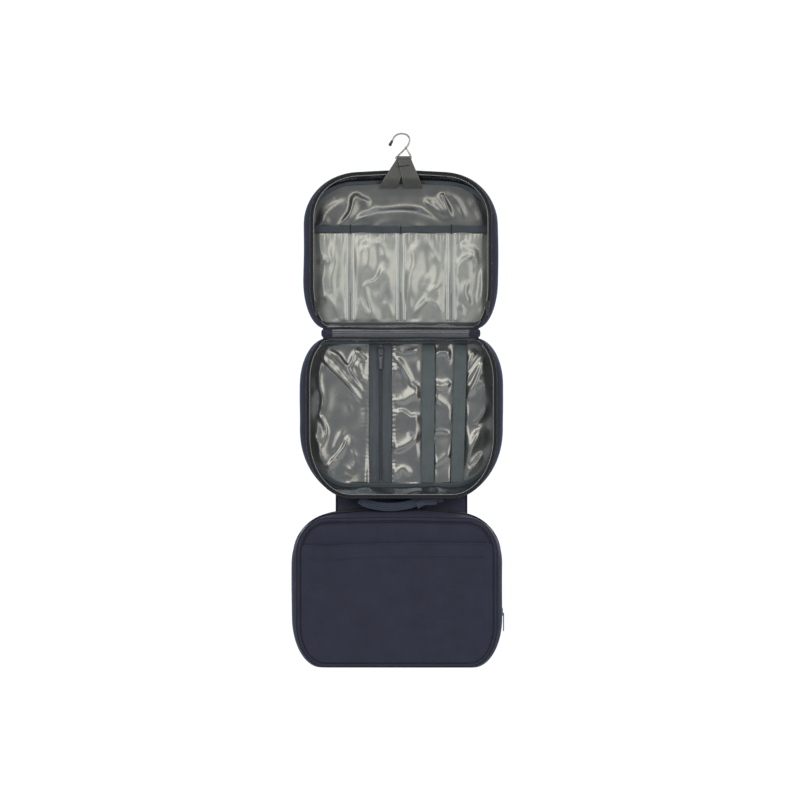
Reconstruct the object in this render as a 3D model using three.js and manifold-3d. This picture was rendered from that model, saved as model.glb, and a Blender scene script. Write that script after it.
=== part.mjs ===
// Hanging wash bag, unfolded: hook, strap, upper tray, hinge strip, middle tray, flap and lower compartment.
// Millimetres. The front faces -Y, +X is to the right and +Z is up.
// The origin is the hanging point: the inside of the top of the hook's bend.
import * as THREE from 'three';
import { mergeVertices } from 'three/addons/utils/BufferGeometryUtils.js';
import Module from 'manifold-3d';

const wasm = await Module();
wasm.setup();

// ---- Driving dimensions -------------------------------------------------------------------------

const GAP = 0.3; // clearance between neighbouring pieces
const FABRIC = 2.0; // padded navy fabric wall
const LINING = 0.8; // film lining
const TRIM = 1.2; // bindings
const TAPE_THICK = 0.9; // woven tapes and elastic
const RIM_Y = 4; // front edge of both trays
const LINING_INSET = FABRIC + GAP; // the linings lie this far inside the outline
const CORNER_STEPS = 6; // facets in each rounded corner
const SIDES = [[-1, 'left'], [1, 'right']];

const FOLD_TOP_Z = -229.4; // hinge strip's upper fold
const FOLD_BOTTOM_Z = -238.9; // hinge strip's lower fold
const FLAP_TOP_Z = -420; // flap's upper fold
const FLAP_BOTTOM_Z = -438; // flap's lower fold
const FLAP_HALF = 76.9;
const FLAP_Y = 30.3; // front face of the flap and its hems

// Each station is an outline of the wall at one depth: half width, top, bottom and elliptical corners.
const UPPER = [
  { y: RIM_Y, half: 107.5, top: -44.2, bottom: FOLD_TOP_Z, topCorner: [48, 56], bottomCorner: [18, 52] },
  { y: 14, half: 115.2, top: -49, bottom: -228.5, topCorner: [51, 58], bottomCorner: [20, 55] },
  { y: 23.7, half: 112, top: -58, bottom: -226.5, topCorner: [48, 50], bottomCorner: [20, 52] },
];
const MIDDLE = [
  { y: RIM_Y, half: 113, top: FOLD_BOTTOM_Z, bottom: -429.3, topCorner: [22, 50], bottomCorner: [36, 72] },
  { y: 15, half: 120.3, top: -239.6, bottom: -425, topCorner: [24, 55], bottomCorner: [41, 76] },
  { y: 27.7, half: 117, top: -240.8, bottom: -418, topCorner: [24, 52], bottomCorner: [38, 66] },
];
const LOWER_FRONT = [
  { y: -5.7, half: 113, top: -455.5, bottom: -620.5, topCorner: [42, 56], bottomCorner: [26, 48] },
  { y: 8, half: 125, top: -447, bottom: -626, topCorner: [50, 64], bottomCorner: [32, 56] },
  { y: 20.2, half: 121.8, top: -442, bottom: -627, topCorner: [50, 65], bottomCorner: [31, 57] },
];
const LOWER_REAR = [
  { y: 20.8, half: 121.6, top: -441.8, bottom: -627, topCorner: [50, 65], bottomCorner: [31, 57] },
  { y: 27.7, half: 118.5, top: -440.5, bottom: -626.5, topCorner: [50, 66], bottomCorner: [30, 58] },
];
const UPPER_BACK_Y = 26;
const MIDDLE_BACK_Y = 30;
const LOWER_BACK_Y = 30;
const LOWER_FRONT_Y = -8;

const colours = {
  navy: new THREE.MeshStandardMaterial({ color: 0x2c2f42, roughness: 0.85, metalness: 0 }),
  film: new THREE.MeshStandardMaterial({ color: 0x7d807a, roughness: 0.25, metalness: 0.1 }),
  slate: new THREE.MeshStandardMaterial({ color: 0x4d5861, roughness: 0.8, metalness: 0 }),
  grey: new THREE.MeshStandardMaterial({ color: 0x5c5d58, roughness: 0.85, metalness: 0 }),
  black: new THREE.MeshStandardMaterial({ color: 0x17181c, roughness: 0.5, metalness: 0 }),
  steel: new THREE.MeshStandardMaterial({ color: 0xb9bab8, roughness: 0.25, metalness: 1 }),
};

// ---- Shape helpers ------------------------------------------------------------------------------

// The outline moved inwards by a distance.
function inset(station, distance) {
  return {
    half: station.half - distance,
    top: station.top - distance,
    bottom: station.bottom + distance,
    topCorner: station.topCorner.map((radius) => Math.max(radius - distance, 1)),
    bottomCorner: station.bottomCorner.map((radius) => Math.max(radius - distance, 1)),
  };
}

// Points (x, z) round an outline, from the lower left corner up, over and down the right side.
function outlinePoints({ half, top, bottom, topCorner, bottomCorner }) {
  const corners = [
    [-half + bottomCorner[0], bottom + bottomCorner[1], bottomCorner, 1.5 * Math.PI],
    [-half + topCorner[0], top - topCorner[1], topCorner, Math.PI],
    [half - topCorner[0], top - topCorner[1], topCorner, 0.5 * Math.PI],
    [half - bottomCorner[0], bottom + bottomCorner[1], bottomCorner, 0],
  ];
  return corners.flatMap(([x, z, [radiusX, radiusZ], start]) =>
    new THREE.EllipseCurve(x, z, radiusX, radiusZ, start, start - Math.PI / 2, true).getPoints(CORNER_STEPS),
  );
}

function signedVolume(geometry) {
  const position = geometry.getAttribute('position');
  const index = geometry.getIndex();
  const [a, b, c] = [new THREE.Vector3(), new THREE.Vector3(), new THREE.Vector3()];
  let volume = 0;
  for (let i = 0; i < index.count; i += 3) {
    a.fromBufferAttribute(position, index.getX(i));
    b.fromBufferAttribute(position, index.getX(i + 1));
    c.fromBufferAttribute(position, index.getX(i + 2));
    volume += a.dot(b.cross(c)) / 6;
  }
  return volume;
}

// A solid through a row of sections with the same number of points. A ring closes on itself; otherwise both
// ends are capped, which needs convex sections.
function loft(sections, ring) {
  const size = sections[0].length;
  const count = sections.length;
  const triangles = [];
  for (let s = 0; s < (ring ? count : count - 1); s += 1) {
    for (let p = 0; p < size; p += 1) {
      const here = s * size;
      const next = ((s + 1) % count) * size;
      const q = (p + 1) % size;
      triangles.push(here + p, next + p, next + q, here + p, next + q, here + q);
    }
  }
  if (!ring) {
    const last = (count - 1) * size;
    for (let p = 1; p < size - 1; p += 1) {
      triangles.push(0, p, p + 1);
      triangles.push(last, last + p + 1, last + p);
    }
  }
  const geometry = new THREE.BufferGeometry().setFromPoints(sections.flat());
  geometry.setIndex(triangles);
  if (signedVolume(geometry) < 0) {
    geometry.setIndex(triangles.toReversed());
  }
  return geometry;
}

// A wall that follows the stations, between two insets of their outlines.
function wall(stations, outer, inner) {
  const outside = stations.map((station) => outlinePoints(inset(station, outer)));
  const inside = stations.map((station) => outlinePoints(inset(station, inner)));
  const sections = outside[0].map((_, i) => {
    const front = stations.map((station, s) => new THREE.Vector3(outside[s][i].x, station.y, outside[s][i].y));
    const back = stations.map((station, s) => new THREE.Vector3(inside[s][i].x, station.y, inside[s][i].y));
    return [...front, ...back.reverse()];
  });
  return loft(sections, true);
}

// The numbers of the points that keep picks, in one unbroken run.
function keptRun(points, keep) {
  const kept = points.map(keep);
  const start = kept.findIndex((here, i) => here && !kept.at(i - 1));
  return points.map((_, i) => (start + i) % points.length).filter((i) => kept[i]);
}

// A band between two insets of an outline, from yFront to yBack: all round, or only where keep says.
function band(station, outer, inner, yFront, yBack, keep) {
  const outside = outlinePoints(inset(station, outer));
  const inside = outlinePoints(inset(station, inner));
  const chosen = keep ? keptRun(outside, keep) : outside.map((_, i) => i);
  const sections = chosen.map((i) => [
    new THREE.Vector3(outside[i].x, yFront, outside[i].y),
    new THREE.Vector3(outside[i].x, yBack, outside[i].y),
    new THREE.Vector3(inside[i].x, yBack, inside[i].y),
    new THREE.Vector3(inside[i].x, yFront, inside[i].y),
  ]);
  return loft(sections, !keep);
}

// A flat plate with an (x, z) outline, from yFront to yBack.
function plate(points, yFront, yBack) {
  const geometry = new THREE.ExtrudeGeometry(new THREE.Shape(points), {
    depth: yBack - yFront,
    bevelEnabled: false,
    steps: 1,
  });
  geometry.rotateX(Math.PI / 2);
  geometry.translate(0, yBack, 0);
  return geometry;
}

function shapedPlate(station, distance, yFront, yBack) {
  return plate(outlinePoints(inset(station, distance)), yFront, yBack);
}

// A box between two corners.
function block(low, high) {
  const size = high.map((value, i) => value - low[i]);
  const geometry = new THREE.BoxGeometry(...size);
  geometry.translate(...low.map((value, i) => value + size[i] / 2));
  return geometry;
}

// A block of a given half width that hangs down from z = 0.
function hangingBlock(half, yFront, yBack, height) {
  return block([-half, yFront, -height], [half, yBack, 0]);
}

function roundTube(curve, radius, steps, sides) {
  const section = new THREE.Shape(
    new THREE.EllipseCurve(0, 0, radius, radius, 0, 2 * Math.PI).getPoints(sides).slice(0, sides),
  );
  return new THREE.ExtrudeGeometry(section, { steps, extrudePath: curve, bevelEnabled: false });
}

function toManifold(geometry) {
  const bare = geometry.clone();
  bare.deleteAttribute('normal');
  bare.deleteAttribute('uv');
  const merged = mergeVertices(bare, 1e-4);
  return new wasm.Manifold(
    new wasm.Mesh({
      numProp: 3,
      vertProperties: new Float32Array(merged.getAttribute('position').array),
      triVerts: new Uint32Array(merged.getIndex().array),
    }),
  );
}

function fromManifold(solid) {
  const mesh = solid.getMesh();
  const geometry = new THREE.BufferGeometry();
  geometry.setAttribute('position', new THREE.BufferAttribute(mesh.vertProperties, 3));
  geometry.setIndex(new THREE.BufferAttribute(mesh.triVerts, 1));
  return geometry;
}

const join = (geometries) =>
  fromManifold(geometries.map(toManifold).reduce((whole, other) => whole.add(other)));
const common = (first, second) => fromManifold(toManifold(first).intersect(toManifold(second)));

function piece(parent, name, geometry, material) {
  const mesh = new THREE.Mesh(geometry, material);
  mesh.name = name;
  parent.add(mesh);
  return mesh;
}

const group = new THREE.Group();
const upperTray = new THREE.Group();
const strapGroup = new THREE.Group();
const hookGroup = new THREE.Group();
const hingeGroup = new THREE.Group();
const middleTray = new THREE.Group();
const handleGroup = new THREE.Group();
const flapGroup = new THREE.Group();
const lowerRear = new THREE.Group();
const lowerLid = new THREE.Group();
const pulls = new THREE.Group();
group.add(upperTray, strapGroup, hookGroup, hingeGroup, middleTray, handleGroup, flapGroup, lowerRear);
group.add(lowerLid, pulls);

// ---- Trays --------------------------------------------------------------------------------------

const BINDING_WIDTH = 4.5;
const CHAIN_WIDTH = 4.5;
const CHAIN_FRONT = RIM_Y - 1.9;

// What both trays have: back panel, wall, lining, seam binding and one half of the zip.
function tray(parent, name, stations, backY, keepChain) {
  const floor = stations.at(-1);
  const liningFront = floor.y - LINING;
  piece(parent, `${name}_back_panel`, shapedPlate(floor, 0, backY - FABRIC, backY), colours.navy);
  piece(parent, `${name}_gusset`, wall(stations, 0, FABRIC), colours.navy);
  const wallLining = wall(stations, LINING_INSET, LINING_INSET + LINING);
  const floorLining = shapedPlate(floor, LINING_INSET, liningFront, floor.y);
  piece(parent, `${name}_lining`, join([wallLining, floorLining]), colours.film);
  const bindingInset = LINING_INSET + LINING + GAP;
  const bindingBack = liningFront - LINING - 2 * GAP;
  piece(
    parent,
    `${name}_seam_binding`,
    band(floor, bindingInset, bindingInset + BINDING_WIDTH, bindingBack - TRIM, bindingBack),
    colours.slate,
  );
  piece(
    parent,
    `${name}_zip_chain`,
    band(stations[0], 0, CHAIN_WIDTH, CHAIN_FRONT, RIM_Y - GAP, keepChain),
    colours.black,
  );
}

// The main zip runs round three sides of each tray, and stops this far from the hinge strip's folds.
const CHAIN_CLEAR_OF_HINGE = 12;
const aboveFold = ({ y }) => y > FOLD_TOP_Z + CHAIN_CLEAR_OF_HINGE;
const belowFold = ({ y }) => y < FOLD_BOTTOM_Z - CHAIN_CLEAR_OF_HINGE;

tray(upperTray, 'upper', UPPER, UPPER_BACK_Y, aboveFold);
tray(middleTray, 'middle', MIDDLE, MIDDLE_BACK_Y, belowFold);

// ---- Upper tray's row of four film pockets --------------------------------------------------------

const POCKET_TOP = -105.6;
const POCKET_BINDING_HEIGHT = 8.3;
const POCKET_BOTTOM = -219;
const POCKET_HALF = 104;
const SQUARE_CORNER = [1, 1];
const POCKET_FILM_BACK = UPPER.at(-1).y - LINING - GAP;

piece(
  upperTray,
  'upper_pocket_film',
  plate(
    outlinePoints({
      half: POCKET_HALF,
      top: POCKET_TOP - POCKET_BINDING_HEIGHT - GAP,
      bottom: POCKET_BOTTOM,
      topCorner: SQUARE_CORNER,
      bottomCorner: [16, 46],
    }),
    POCKET_FILM_BACK - LINING,
    POCKET_FILM_BACK,
  ),
  colours.film,
);
piece(
  upperTray,
  'upper_pocket_binding',
  block(
    [-POCKET_HALF, POCKET_FILM_BACK - TAPE_THICK, POCKET_TOP - POCKET_BINDING_HEIGHT],
    [POCKET_HALF, POCKET_FILM_BACK, POCKET_TOP],
  ),
  colours.slate,
);

// ---- Main zip: two sliders and their pulls --------------------------------------------------------

const MAIN_SLIDER_X = 100.6;
const MAIN_SLIDER_TOP = -196;
const MAIN_SLIDER = { half: 3.2, front: -2.2, back: CHAIN_FRONT - GAP, height: 8 };
const MAIN_PULL = { half: 2.2, front: -3.8, back: MAIN_SLIDER.front - GAP, height: 11 };
const MAIN_PULL_TOP = MAIN_SLIDER_TOP - 6.6;

for (const [side, name] of SIDES) {
  const slider = piece(
    upperTray,
    `main_zip_slider_${name}`,
    hangingBlock(MAIN_SLIDER.half, MAIN_SLIDER.front, MAIN_SLIDER.back, MAIN_SLIDER.height),
    colours.black,
  );
  slider.position.set(side * MAIN_SLIDER_X, 0, MAIN_SLIDER_TOP);
  const pull = piece(
    pulls,
    `main_zip_pull_${name}`,
    hangingBlock(MAIN_PULL.half, MAIN_PULL.front, MAIN_PULL.back, MAIN_PULL.height),
    colours.black,
  );
  pull.position.set(side * MAIN_SLIDER_X, 0, MAIN_PULL_TOP);
}

// ---- Strap ----------------------------------------------------------------------------------------

const STRAP_WIDTH = 22;
const STRAP_TOP_WIDTH = 18; // narrower where the two legs overlap
const STRAP_THICK = 1.5;
const STRAP_ROOT = { y: 18.8, z: -63.2 };
const STRAP_BEND = { y: 0.2, z: -51.5 };
const STRAP_MERGE_Z = -39.6;
const STRAP_TOP_X = 1.5;
const FOLD_LEFT = -3.2;
const FOLD_RIGHT = 7.7;
const LEFT_LEG = { rootX: -16.5, shift: 0.7 };
const RIGHT_LEG = { rootX: 15.5, shift: -0.7 };
const BAR_Z = -27.8; // centre of the hook's bar
const STRAP_TOP_Z = BAR_Z - 3.4;
const NECK_HALF = 1.3;
const NECK_LOW = BAR_Z - 4;
const NECK_HIGH = BAR_Z - 1.8;
const FOLD_OUTER = 2.6;
const FOLD_INNER = 1.5;
const FOLD_FACETS = 14;

// One leg of the upside-down V: flat webbing from its sewn end, forwards past the rim, then up.
function strapLeg({ rootX, shift }) {
  const along = (STRAP_BEND.z - STRAP_ROOT.z) / (STRAP_MERGE_Z - STRAP_ROOT.z);
  const bendX = rootX + (STRAP_TOP_X - rootX) * along;
  const slope = new THREE.Vector2(STRAP_BEND.y - STRAP_ROOT.y, STRAP_BEND.z - STRAP_ROOT.z).normalize();
  const across = { y: slope.y * STRAP_THICK, z: -slope.x * STRAP_THICK };
  const stops = [
    [rootX, STRAP_ROOT.y, STRAP_ROOT.z, across.y, across.z],
    [bendX, STRAP_BEND.y + shift, STRAP_BEND.z, STRAP_THICK, STRAP_THICK * 0.5],
    [STRAP_TOP_X, shift, STRAP_MERGE_Z, STRAP_THICK, 0],
    [STRAP_TOP_X, shift, STRAP_TOP_Z, STRAP_THICK, 0],
  ];
  const sections = stops.map(([x, y, z, thickY, thickZ], i) => {
    const half = (i < 2 ? STRAP_WIDTH : STRAP_TOP_WIDTH) / 2;
    return [
      new THREE.Vector3(x - half, y - thickY / 2, z - thickZ / 2),
      new THREE.Vector3(x + half, y - thickY / 2, z - thickZ / 2),
      new THREE.Vector3(x + half, y + thickY / 2, z + thickZ / 2),
      new THREE.Vector3(x - half, y + thickY / 2, z + thickZ / 2),
    ];
  });
  return loft(sections, false);
}

// The fold round the hook's bar, as a ring with the bar's clearance inside.
function strapFold() {
  const circle = (radius) =>
    new THREE.EllipseCurve(0, 0, radius, radius, 0, 2 * Math.PI).getPoints(FOLD_FACETS).slice(0, FOLD_FACETS);
  const ring = new THREE.Shape(circle(FOLD_OUTER));
  ring.holes.push(new THREE.Path(circle(FOLD_INNER)));
  const geometry = new THREE.ExtrudeGeometry(ring, { depth: FOLD_RIGHT - FOLD_LEFT, bevelEnabled: false });
  geometry.rotateY(Math.PI / 2);
  geometry.translate(FOLD_LEFT, 0, BAR_Z);
  return geometry;
}

const strapNeck = block([FOLD_LEFT, -NECK_HALF, NECK_LOW], [FOLD_RIGHT, NECK_HALF, NECK_HIGH]);
piece(
  strapGroup,
  'hanging_strap',
  join([strapLeg(LEFT_LEG), strapLeg(RIGHT_LEG), strapNeck, strapFold()]),
  colours.grey,
);

// ---- Hook -----------------------------------------------------------------------------------------

const WIRE_RADIUS = 0.95;
const WIRE_SIDES = 8;
const BEND_STEPS = 28;
const CAP_SIDES = 12;
const CROSSING = new THREE.Vector3(4.4, 0, -16.1);
const BAR_LEFT = new THREE.Vector3(-7.5, 0, BAR_Z);
const BAR_RIGHT = new THREE.Vector3(10.5, 0, BAR_Z);
const CAP_START = new THREE.Vector3(-11.6, 0, -7.6);
const CAP_END = new THREE.Vector3(-14.6, 0, -13.2);

const bend = new THREE.CatmullRomCurve3([
  CAP_START,
  new THREE.Vector3(-8.8, 0, -2.6),
  new THREE.Vector3(-5, 0, 0.1),
  new THREE.Vector3(0, 0, WIRE_RADIUS),
  new THREE.Vector3(5.3, 0, -0.4),
  new THREE.Vector3(8.6, 0, -4.2),
  new THREE.Vector3(8.7, 0, -8.6),
  new THREE.Vector3(7, 0, -12.6),
  CROSSING,
]);
const straight = (from, to) => new THREE.LineCurve3(from, to);
piece(
  hookGroup,
  'wire_hook',
  join([
    roundTube(bend, WIRE_RADIUS, BEND_STEPS, WIRE_SIDES),
    roundTube(straight(CROSSING, BAR_LEFT), WIRE_RADIUS, 1, WIRE_SIDES),
    roundTube(straight(BAR_LEFT, BAR_RIGHT), WIRE_RADIUS, 1, WIRE_SIDES),
    roundTube(straight(BAR_RIGHT, CROSSING), WIRE_RADIUS, 1, WIRE_SIDES),
  ]),
  colours.steel,
);

const capAxis = CAP_END.clone().sub(CAP_START);
const capLength = capAxis.length();
const capProfile = [
  [0, GAP],
  [1.15, GAP],
  [1.35, 2],
  [1.55, capLength - 1],
  [0.9, capLength],
  [0, capLength],
].map(([radius, height]) => new THREE.Vector2(radius, height));
const tipCap = piece(hookGroup, 'hook_tip_cap', new THREE.LatheGeometry(capProfile, CAP_SIDES), colours.black);
tipCap.position.copy(CAP_START);
tipCap.quaternion.setFromUnitVectors(new THREE.Vector3(0, 1, 0), capAxis.clone().normalize());

// ---- Hinge strip ----------------------------------------------------------------------------------

const STRIP_HALF = 83;
const STRIP_THICK = 1.6;
const TAB_OUTER = 93;
const TAB_WIDTH = TAB_OUTER - STRIP_HALF - GAP;

piece(
  hingeGroup,
  'hinge_strip',
  block([-STRIP_HALF, RIM_Y, FOLD_BOTTOM_Z + GAP], [STRIP_HALF, RIM_Y + STRIP_THICK, FOLD_TOP_Z - GAP]),
  colours.film,
);
for (const [side, name] of SIDES) {
  const tab = piece(
    hingeGroup,
    `hinge_end_tab_${name}`,
    block([-TAB_WIDTH / 2, RIM_Y, FOLD_BOTTOM_Z + GAP], [TAB_WIDTH / 2, RIM_Y + FABRIC, FOLD_TOP_Z - GAP]),
    colours.navy,
  );
  tab.position.x = side * (TAB_OUTER - TAB_WIDTH / 2);
}

// ---- Middle tray's zipped film pocket and elastic bands --------------------------------------------

const FILM_TOP = -249.2;
const FILM_BOTTOM = -409.6;
const FILM_BACK = MIDDLE.at(-1).y - LINING - GAP;
const FILM_FRONT = FILM_BACK - LINING;
const ZIP_X = -25.5;
const COIL_HALF = 1.6;
const TAPE_HALF = 13;
const FILM_HALF = 104;
const COIL_FRONT = FILM_FRONT - 0.6;

const filmOutline = shapedPlate(MIDDLE.at(-1), FABRIC + LINING + 2 * GAP, FILM_FRONT, FILM_BACK);
const filmSheet = (left, right) =>
  common(filmOutline, block([left, FILM_FRONT - GAP, FILM_BOTTOM], [right, FILM_BACK + GAP, FILM_TOP]));
piece(middleTray, 'middle_film_left', filmSheet(-FILM_HALF, ZIP_X - TAPE_HALF - GAP), colours.film);
piece(middleTray, 'middle_film_right', filmSheet(ZIP_X + TAPE_HALF + GAP, FILM_HALF), colours.film);
for (const [side, name] of SIDES) {
  const inner = COIL_HALF + GAP;
  const edges = [ZIP_X + side * inner, ZIP_X + side * TAPE_HALF].sort((a, b) => a - b);
  piece(
    middleTray,
    `pocket_zip_tape_${name}`,
    block([edges[0], FILM_FRONT, FILM_BOTTOM], [edges[1], FILM_BACK, FILM_TOP]),
    colours.slate,
  );
}
piece(
  middleTray,
  'pocket_zip_coil',
  block([ZIP_X - COIL_HALF, COIL_FRONT, FILM_BOTTOM], [ZIP_X + COIL_HALF, FILM_BACK, FILM_TOP]),
  colours.slate,
);

const BAND_WIDTH = 15;
const BAND_BACK = FILM_FRONT - GAP;
const BANDS = [[30, 'left'], [68, 'right']];
for (const [x, name] of BANDS) {
  const elastic = piece(
    middleTray,
    `elastic_band_${name}`,
    block([-BAND_WIDTH / 2, BAND_BACK - TAPE_THICK, FILM_BOTTOM], [BAND_WIDTH / 2, BAND_BACK, FILM_TOP]),
    colours.slate,
  );
  elastic.position.x = x;
}

const POCKET_SLIDER_TOP = -250.5;
const POCKET_SLIDER = { half: 3.4, front: COIL_FRONT - GAP - 2.8, back: COIL_FRONT - GAP, height: 9 };
const POCKET_PULL = {
  half: 2,
  front: POCKET_SLIDER.front - 1.6,
  back: POCKET_SLIDER.front - GAP,
  height: 18.5,
};
const POCKET_PULL_TOP = POCKET_SLIDER_TOP - 7;

const pocketSlider = piece(
  middleTray,
  'pocket_zip_slider',
  hangingBlock(POCKET_SLIDER.half, POCKET_SLIDER.front, POCKET_SLIDER.back, POCKET_SLIDER.height),
  colours.slate,
);
pocketSlider.position.set(ZIP_X, 0, POCKET_SLIDER_TOP);
const pocketPull = piece(
  pulls,
  'pocket_zip_pull',
  hangingBlock(POCKET_PULL.half, POCKET_PULL.front, POCKET_PULL.back, POCKET_PULL.height),
  colours.slate,
);
pocketPull.position.set(ZIP_X, 0, POCKET_PULL_TOP);

// ---- Handle ---------------------------------------------------------------------------------------

const HANDLE_HALF = 50;
const HANDLE_TOP = -430;
const HANDLE_HEIGHT = 10;
const HANDLE_SAG = 3.8;
const HANDLE_FRONT = 10;
const HANDLE_THICK = 3;
const HANDLE_STEPS = 12;
const ANCHOR_FRONT = HANDLE_FRONT + HANDLE_THICK + GAP;
const ANCHOR_X = 45;
const ANCHOR_HALF = 6;
const ANCHOR_LOW = HANDLE_TOP - 2;
const ANCHOR_HIGH = HANDLE_TOP + 3;

const sag = (x) => -HANDLE_SAG * (1 - (x / HANDLE_HALF) ** 2);
const handleStops = Array.from(
  { length: HANDLE_STEPS + 1 },
  (_, i) => -HANDLE_HALF + (2 * HANDLE_HALF * i) / HANDLE_STEPS,
);
const handleOutline = [
  ...handleStops.map((x) => new THREE.Vector2(x, HANDLE_TOP + sag(x))),
  ...handleStops.toReversed().map((x) => new THREE.Vector2(x, HANDLE_TOP - HANDLE_HEIGHT + sag(x))),
];
piece(
  handleGroup,
  'carry_handle',
  plate(handleOutline, HANDLE_FRONT, HANDLE_FRONT + HANDLE_THICK),
  colours.navy,
);
for (const [side, name] of SIDES) {
  const anchor = piece(
    middleTray,
    `handle_anchor_${name}`,
    block([-ANCHOR_HALF, ANCHOR_FRONT, ANCHOR_LOW], [ANCHOR_HALF, ANCHOR_FRONT + FABRIC, ANCHOR_HIGH]),
    colours.navy,
  );
  anchor.position.x = side * ANCHOR_X;
}

// ---- Flap between the middle tray and the lower compartment ------------------------------------------

const HEM_HEIGHT = 19;
const FLAP_BACK = FLAP_Y + FABRIC;

piece(
  middleTray,
  'flap_hem_upper',
  block([-FLAP_HALF, FLAP_Y, FLAP_TOP_Z + GAP], [FLAP_HALF, FLAP_BACK, FLAP_TOP_Z + HEM_HEIGHT]),
  colours.navy,
);
piece(
  flapGroup,
  'connecting_flap',
  block([-FLAP_HALF, FLAP_Y, FLAP_BOTTOM_Z + GAP], [FLAP_HALF, FLAP_BACK, FLAP_TOP_Z - GAP]),
  colours.navy,
);
for (const [side, name] of SIDES) {
  const binding = piece(
    flapGroup,
    `flap_edge_binding_${name}`,
    block([-TRIM / 2, FLAP_Y, FLAP_BOTTOM_Z + GAP], [TRIM / 2, FLAP_BACK, FLAP_TOP_Z - GAP]),
    colours.black,
  );
  binding.position.x = side * (FLAP_HALF + GAP + TRIM / 2);
}
piece(
  lowerRear,
  'flap_hem_lower',
  block([-FLAP_HALF, FLAP_Y, FLAP_BOTTOM_Z - HEM_HEIGHT], [FLAP_HALF, FLAP_BACK, FLAP_BOTTOM_Z - GAP]),
  colours.navy,
);

// ---- Lower compartment ----------------------------------------------------------------------------

const CHAIN_LIFT = 0.9; // the zip tape stands this far off the wall
const CHAIN_NEAR = 0.1; // the two tapes start this far from the edges that meet
const CHAIN_FAR = 3;
const LOWER_CHAIN_END = -611;
const PIPING_WIDTH = 2.4;
const aboveHinge = ({ y }) => y > LOWER_CHAIN_END;
const lowerChain = (edge, yFront, yBack) =>
  band(edge, -CHAIN_LIFT - TRIM, -CHAIN_LIFT, yFront, yBack, aboveHinge);
const rearEdge = LOWER_REAR[0];
const frontEdge = LOWER_FRONT.at(-1);
const frontOutline = LOWER_FRONT[0];

piece(
  lowerRear,
  'lower_back_panel',
  shapedPlate(LOWER_REAR.at(-1), 0, LOWER_BACK_Y - FABRIC, LOWER_BACK_Y),
  colours.navy,
);
piece(lowerRear, 'lower_rear_gusset', wall(LOWER_REAR, 0, FABRIC), colours.navy);
piece(
  lowerRear,
  'lower_back_lining',
  shapedPlate(LOWER_REAR.at(-1), LINING_INSET, LOWER_REAR.at(-1).y - LINING, LOWER_REAR.at(-1).y),
  colours.film,
);
piece(
  lowerRear,
  'lower_rear_zip_chain',
  lowerChain(rearEdge, rearEdge.y + CHAIN_NEAR, rearEdge.y + CHAIN_FAR),
  colours.black,
);
piece(lowerLid, 'lower_front_gusset', wall(LOWER_FRONT, 0, FABRIC), colours.navy);
piece(
  lowerLid,
  'lower_front_panel',
  shapedPlate(frontOutline, 0, LOWER_FRONT_Y, LOWER_FRONT_Y + FABRIC),
  colours.navy,
);
piece(
  lowerLid,
  'lower_front_lining',
  shapedPlate(frontOutline, LINING_INSET, frontOutline.y, frontOutline.y + LINING),
  colours.film,
);
piece(
  lowerLid,
  'lower_front_zip_chain',
  lowerChain(frontEdge, frontEdge.y - CHAIN_FAR, frontEdge.y - CHAIN_NEAR),
  colours.black,
);
piece(
  lowerLid,
  'lower_front_piping',
  band(frontOutline, -GAP - PIPING_WIDTH, -GAP, LOWER_FRONT_Y - 0.2, LOWER_FRONT_Y + FABRIC),
  colours.navy,
);

const SLIP_TOP = -482;
const SLIP_THICK = 1.2;
const SLIP_INSET = 0.6;
piece(
  lowerLid,
  'lower_slip_pocket',
  plate(
    outlinePoints({
      half: frontOutline.half - SLIP_INSET,
      top: SLIP_TOP,
      bottom: frontOutline.bottom + SLIP_INSET,
      topCorner: SQUARE_CORNER,
      bottomCorner: frontOutline.bottomCorner,
    }),
    LOWER_FRONT_Y - GAP - SLIP_THICK,
    LOWER_FRONT_Y - GAP,
  ),
  colours.navy,
);

// The slider and its pull lie flat against the right side.
const LOWER_SLIDER_X = 124.2;
const LOWER_SLIDER_TOP = -560;
const LOWER_SLIDER = { thick: 2, front: 16.6, back: 25, height: 10 };
const LOWER_PULL = { thick: 1.2, front: 18.6, back: 23, height: 22 };
const LOWER_PULL_TOP = LOWER_SLIDER_TOP - 6;
const sideBlock = ({ thick, front, back, height }) => block([0, front, -height], [thick, back, 0]);

const lowerSlider = piece(lowerRear, 'lower_zip_slider', sideBlock(LOWER_SLIDER), colours.black);
lowerSlider.position.set(LOWER_SLIDER_X, 0, LOWER_SLIDER_TOP);
const lowerPull = piece(pulls, 'lower_zip_pull', sideBlock(LOWER_PULL), colours.black);
lowerPull.position.set(LOWER_SLIDER_X + LOWER_SLIDER.thick + GAP, 0, LOWER_PULL_TOP);

export default group;
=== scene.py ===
"""Looks of the hanging wash bag: cloth, film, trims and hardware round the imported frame. Blender 4.5."""
import math

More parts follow.
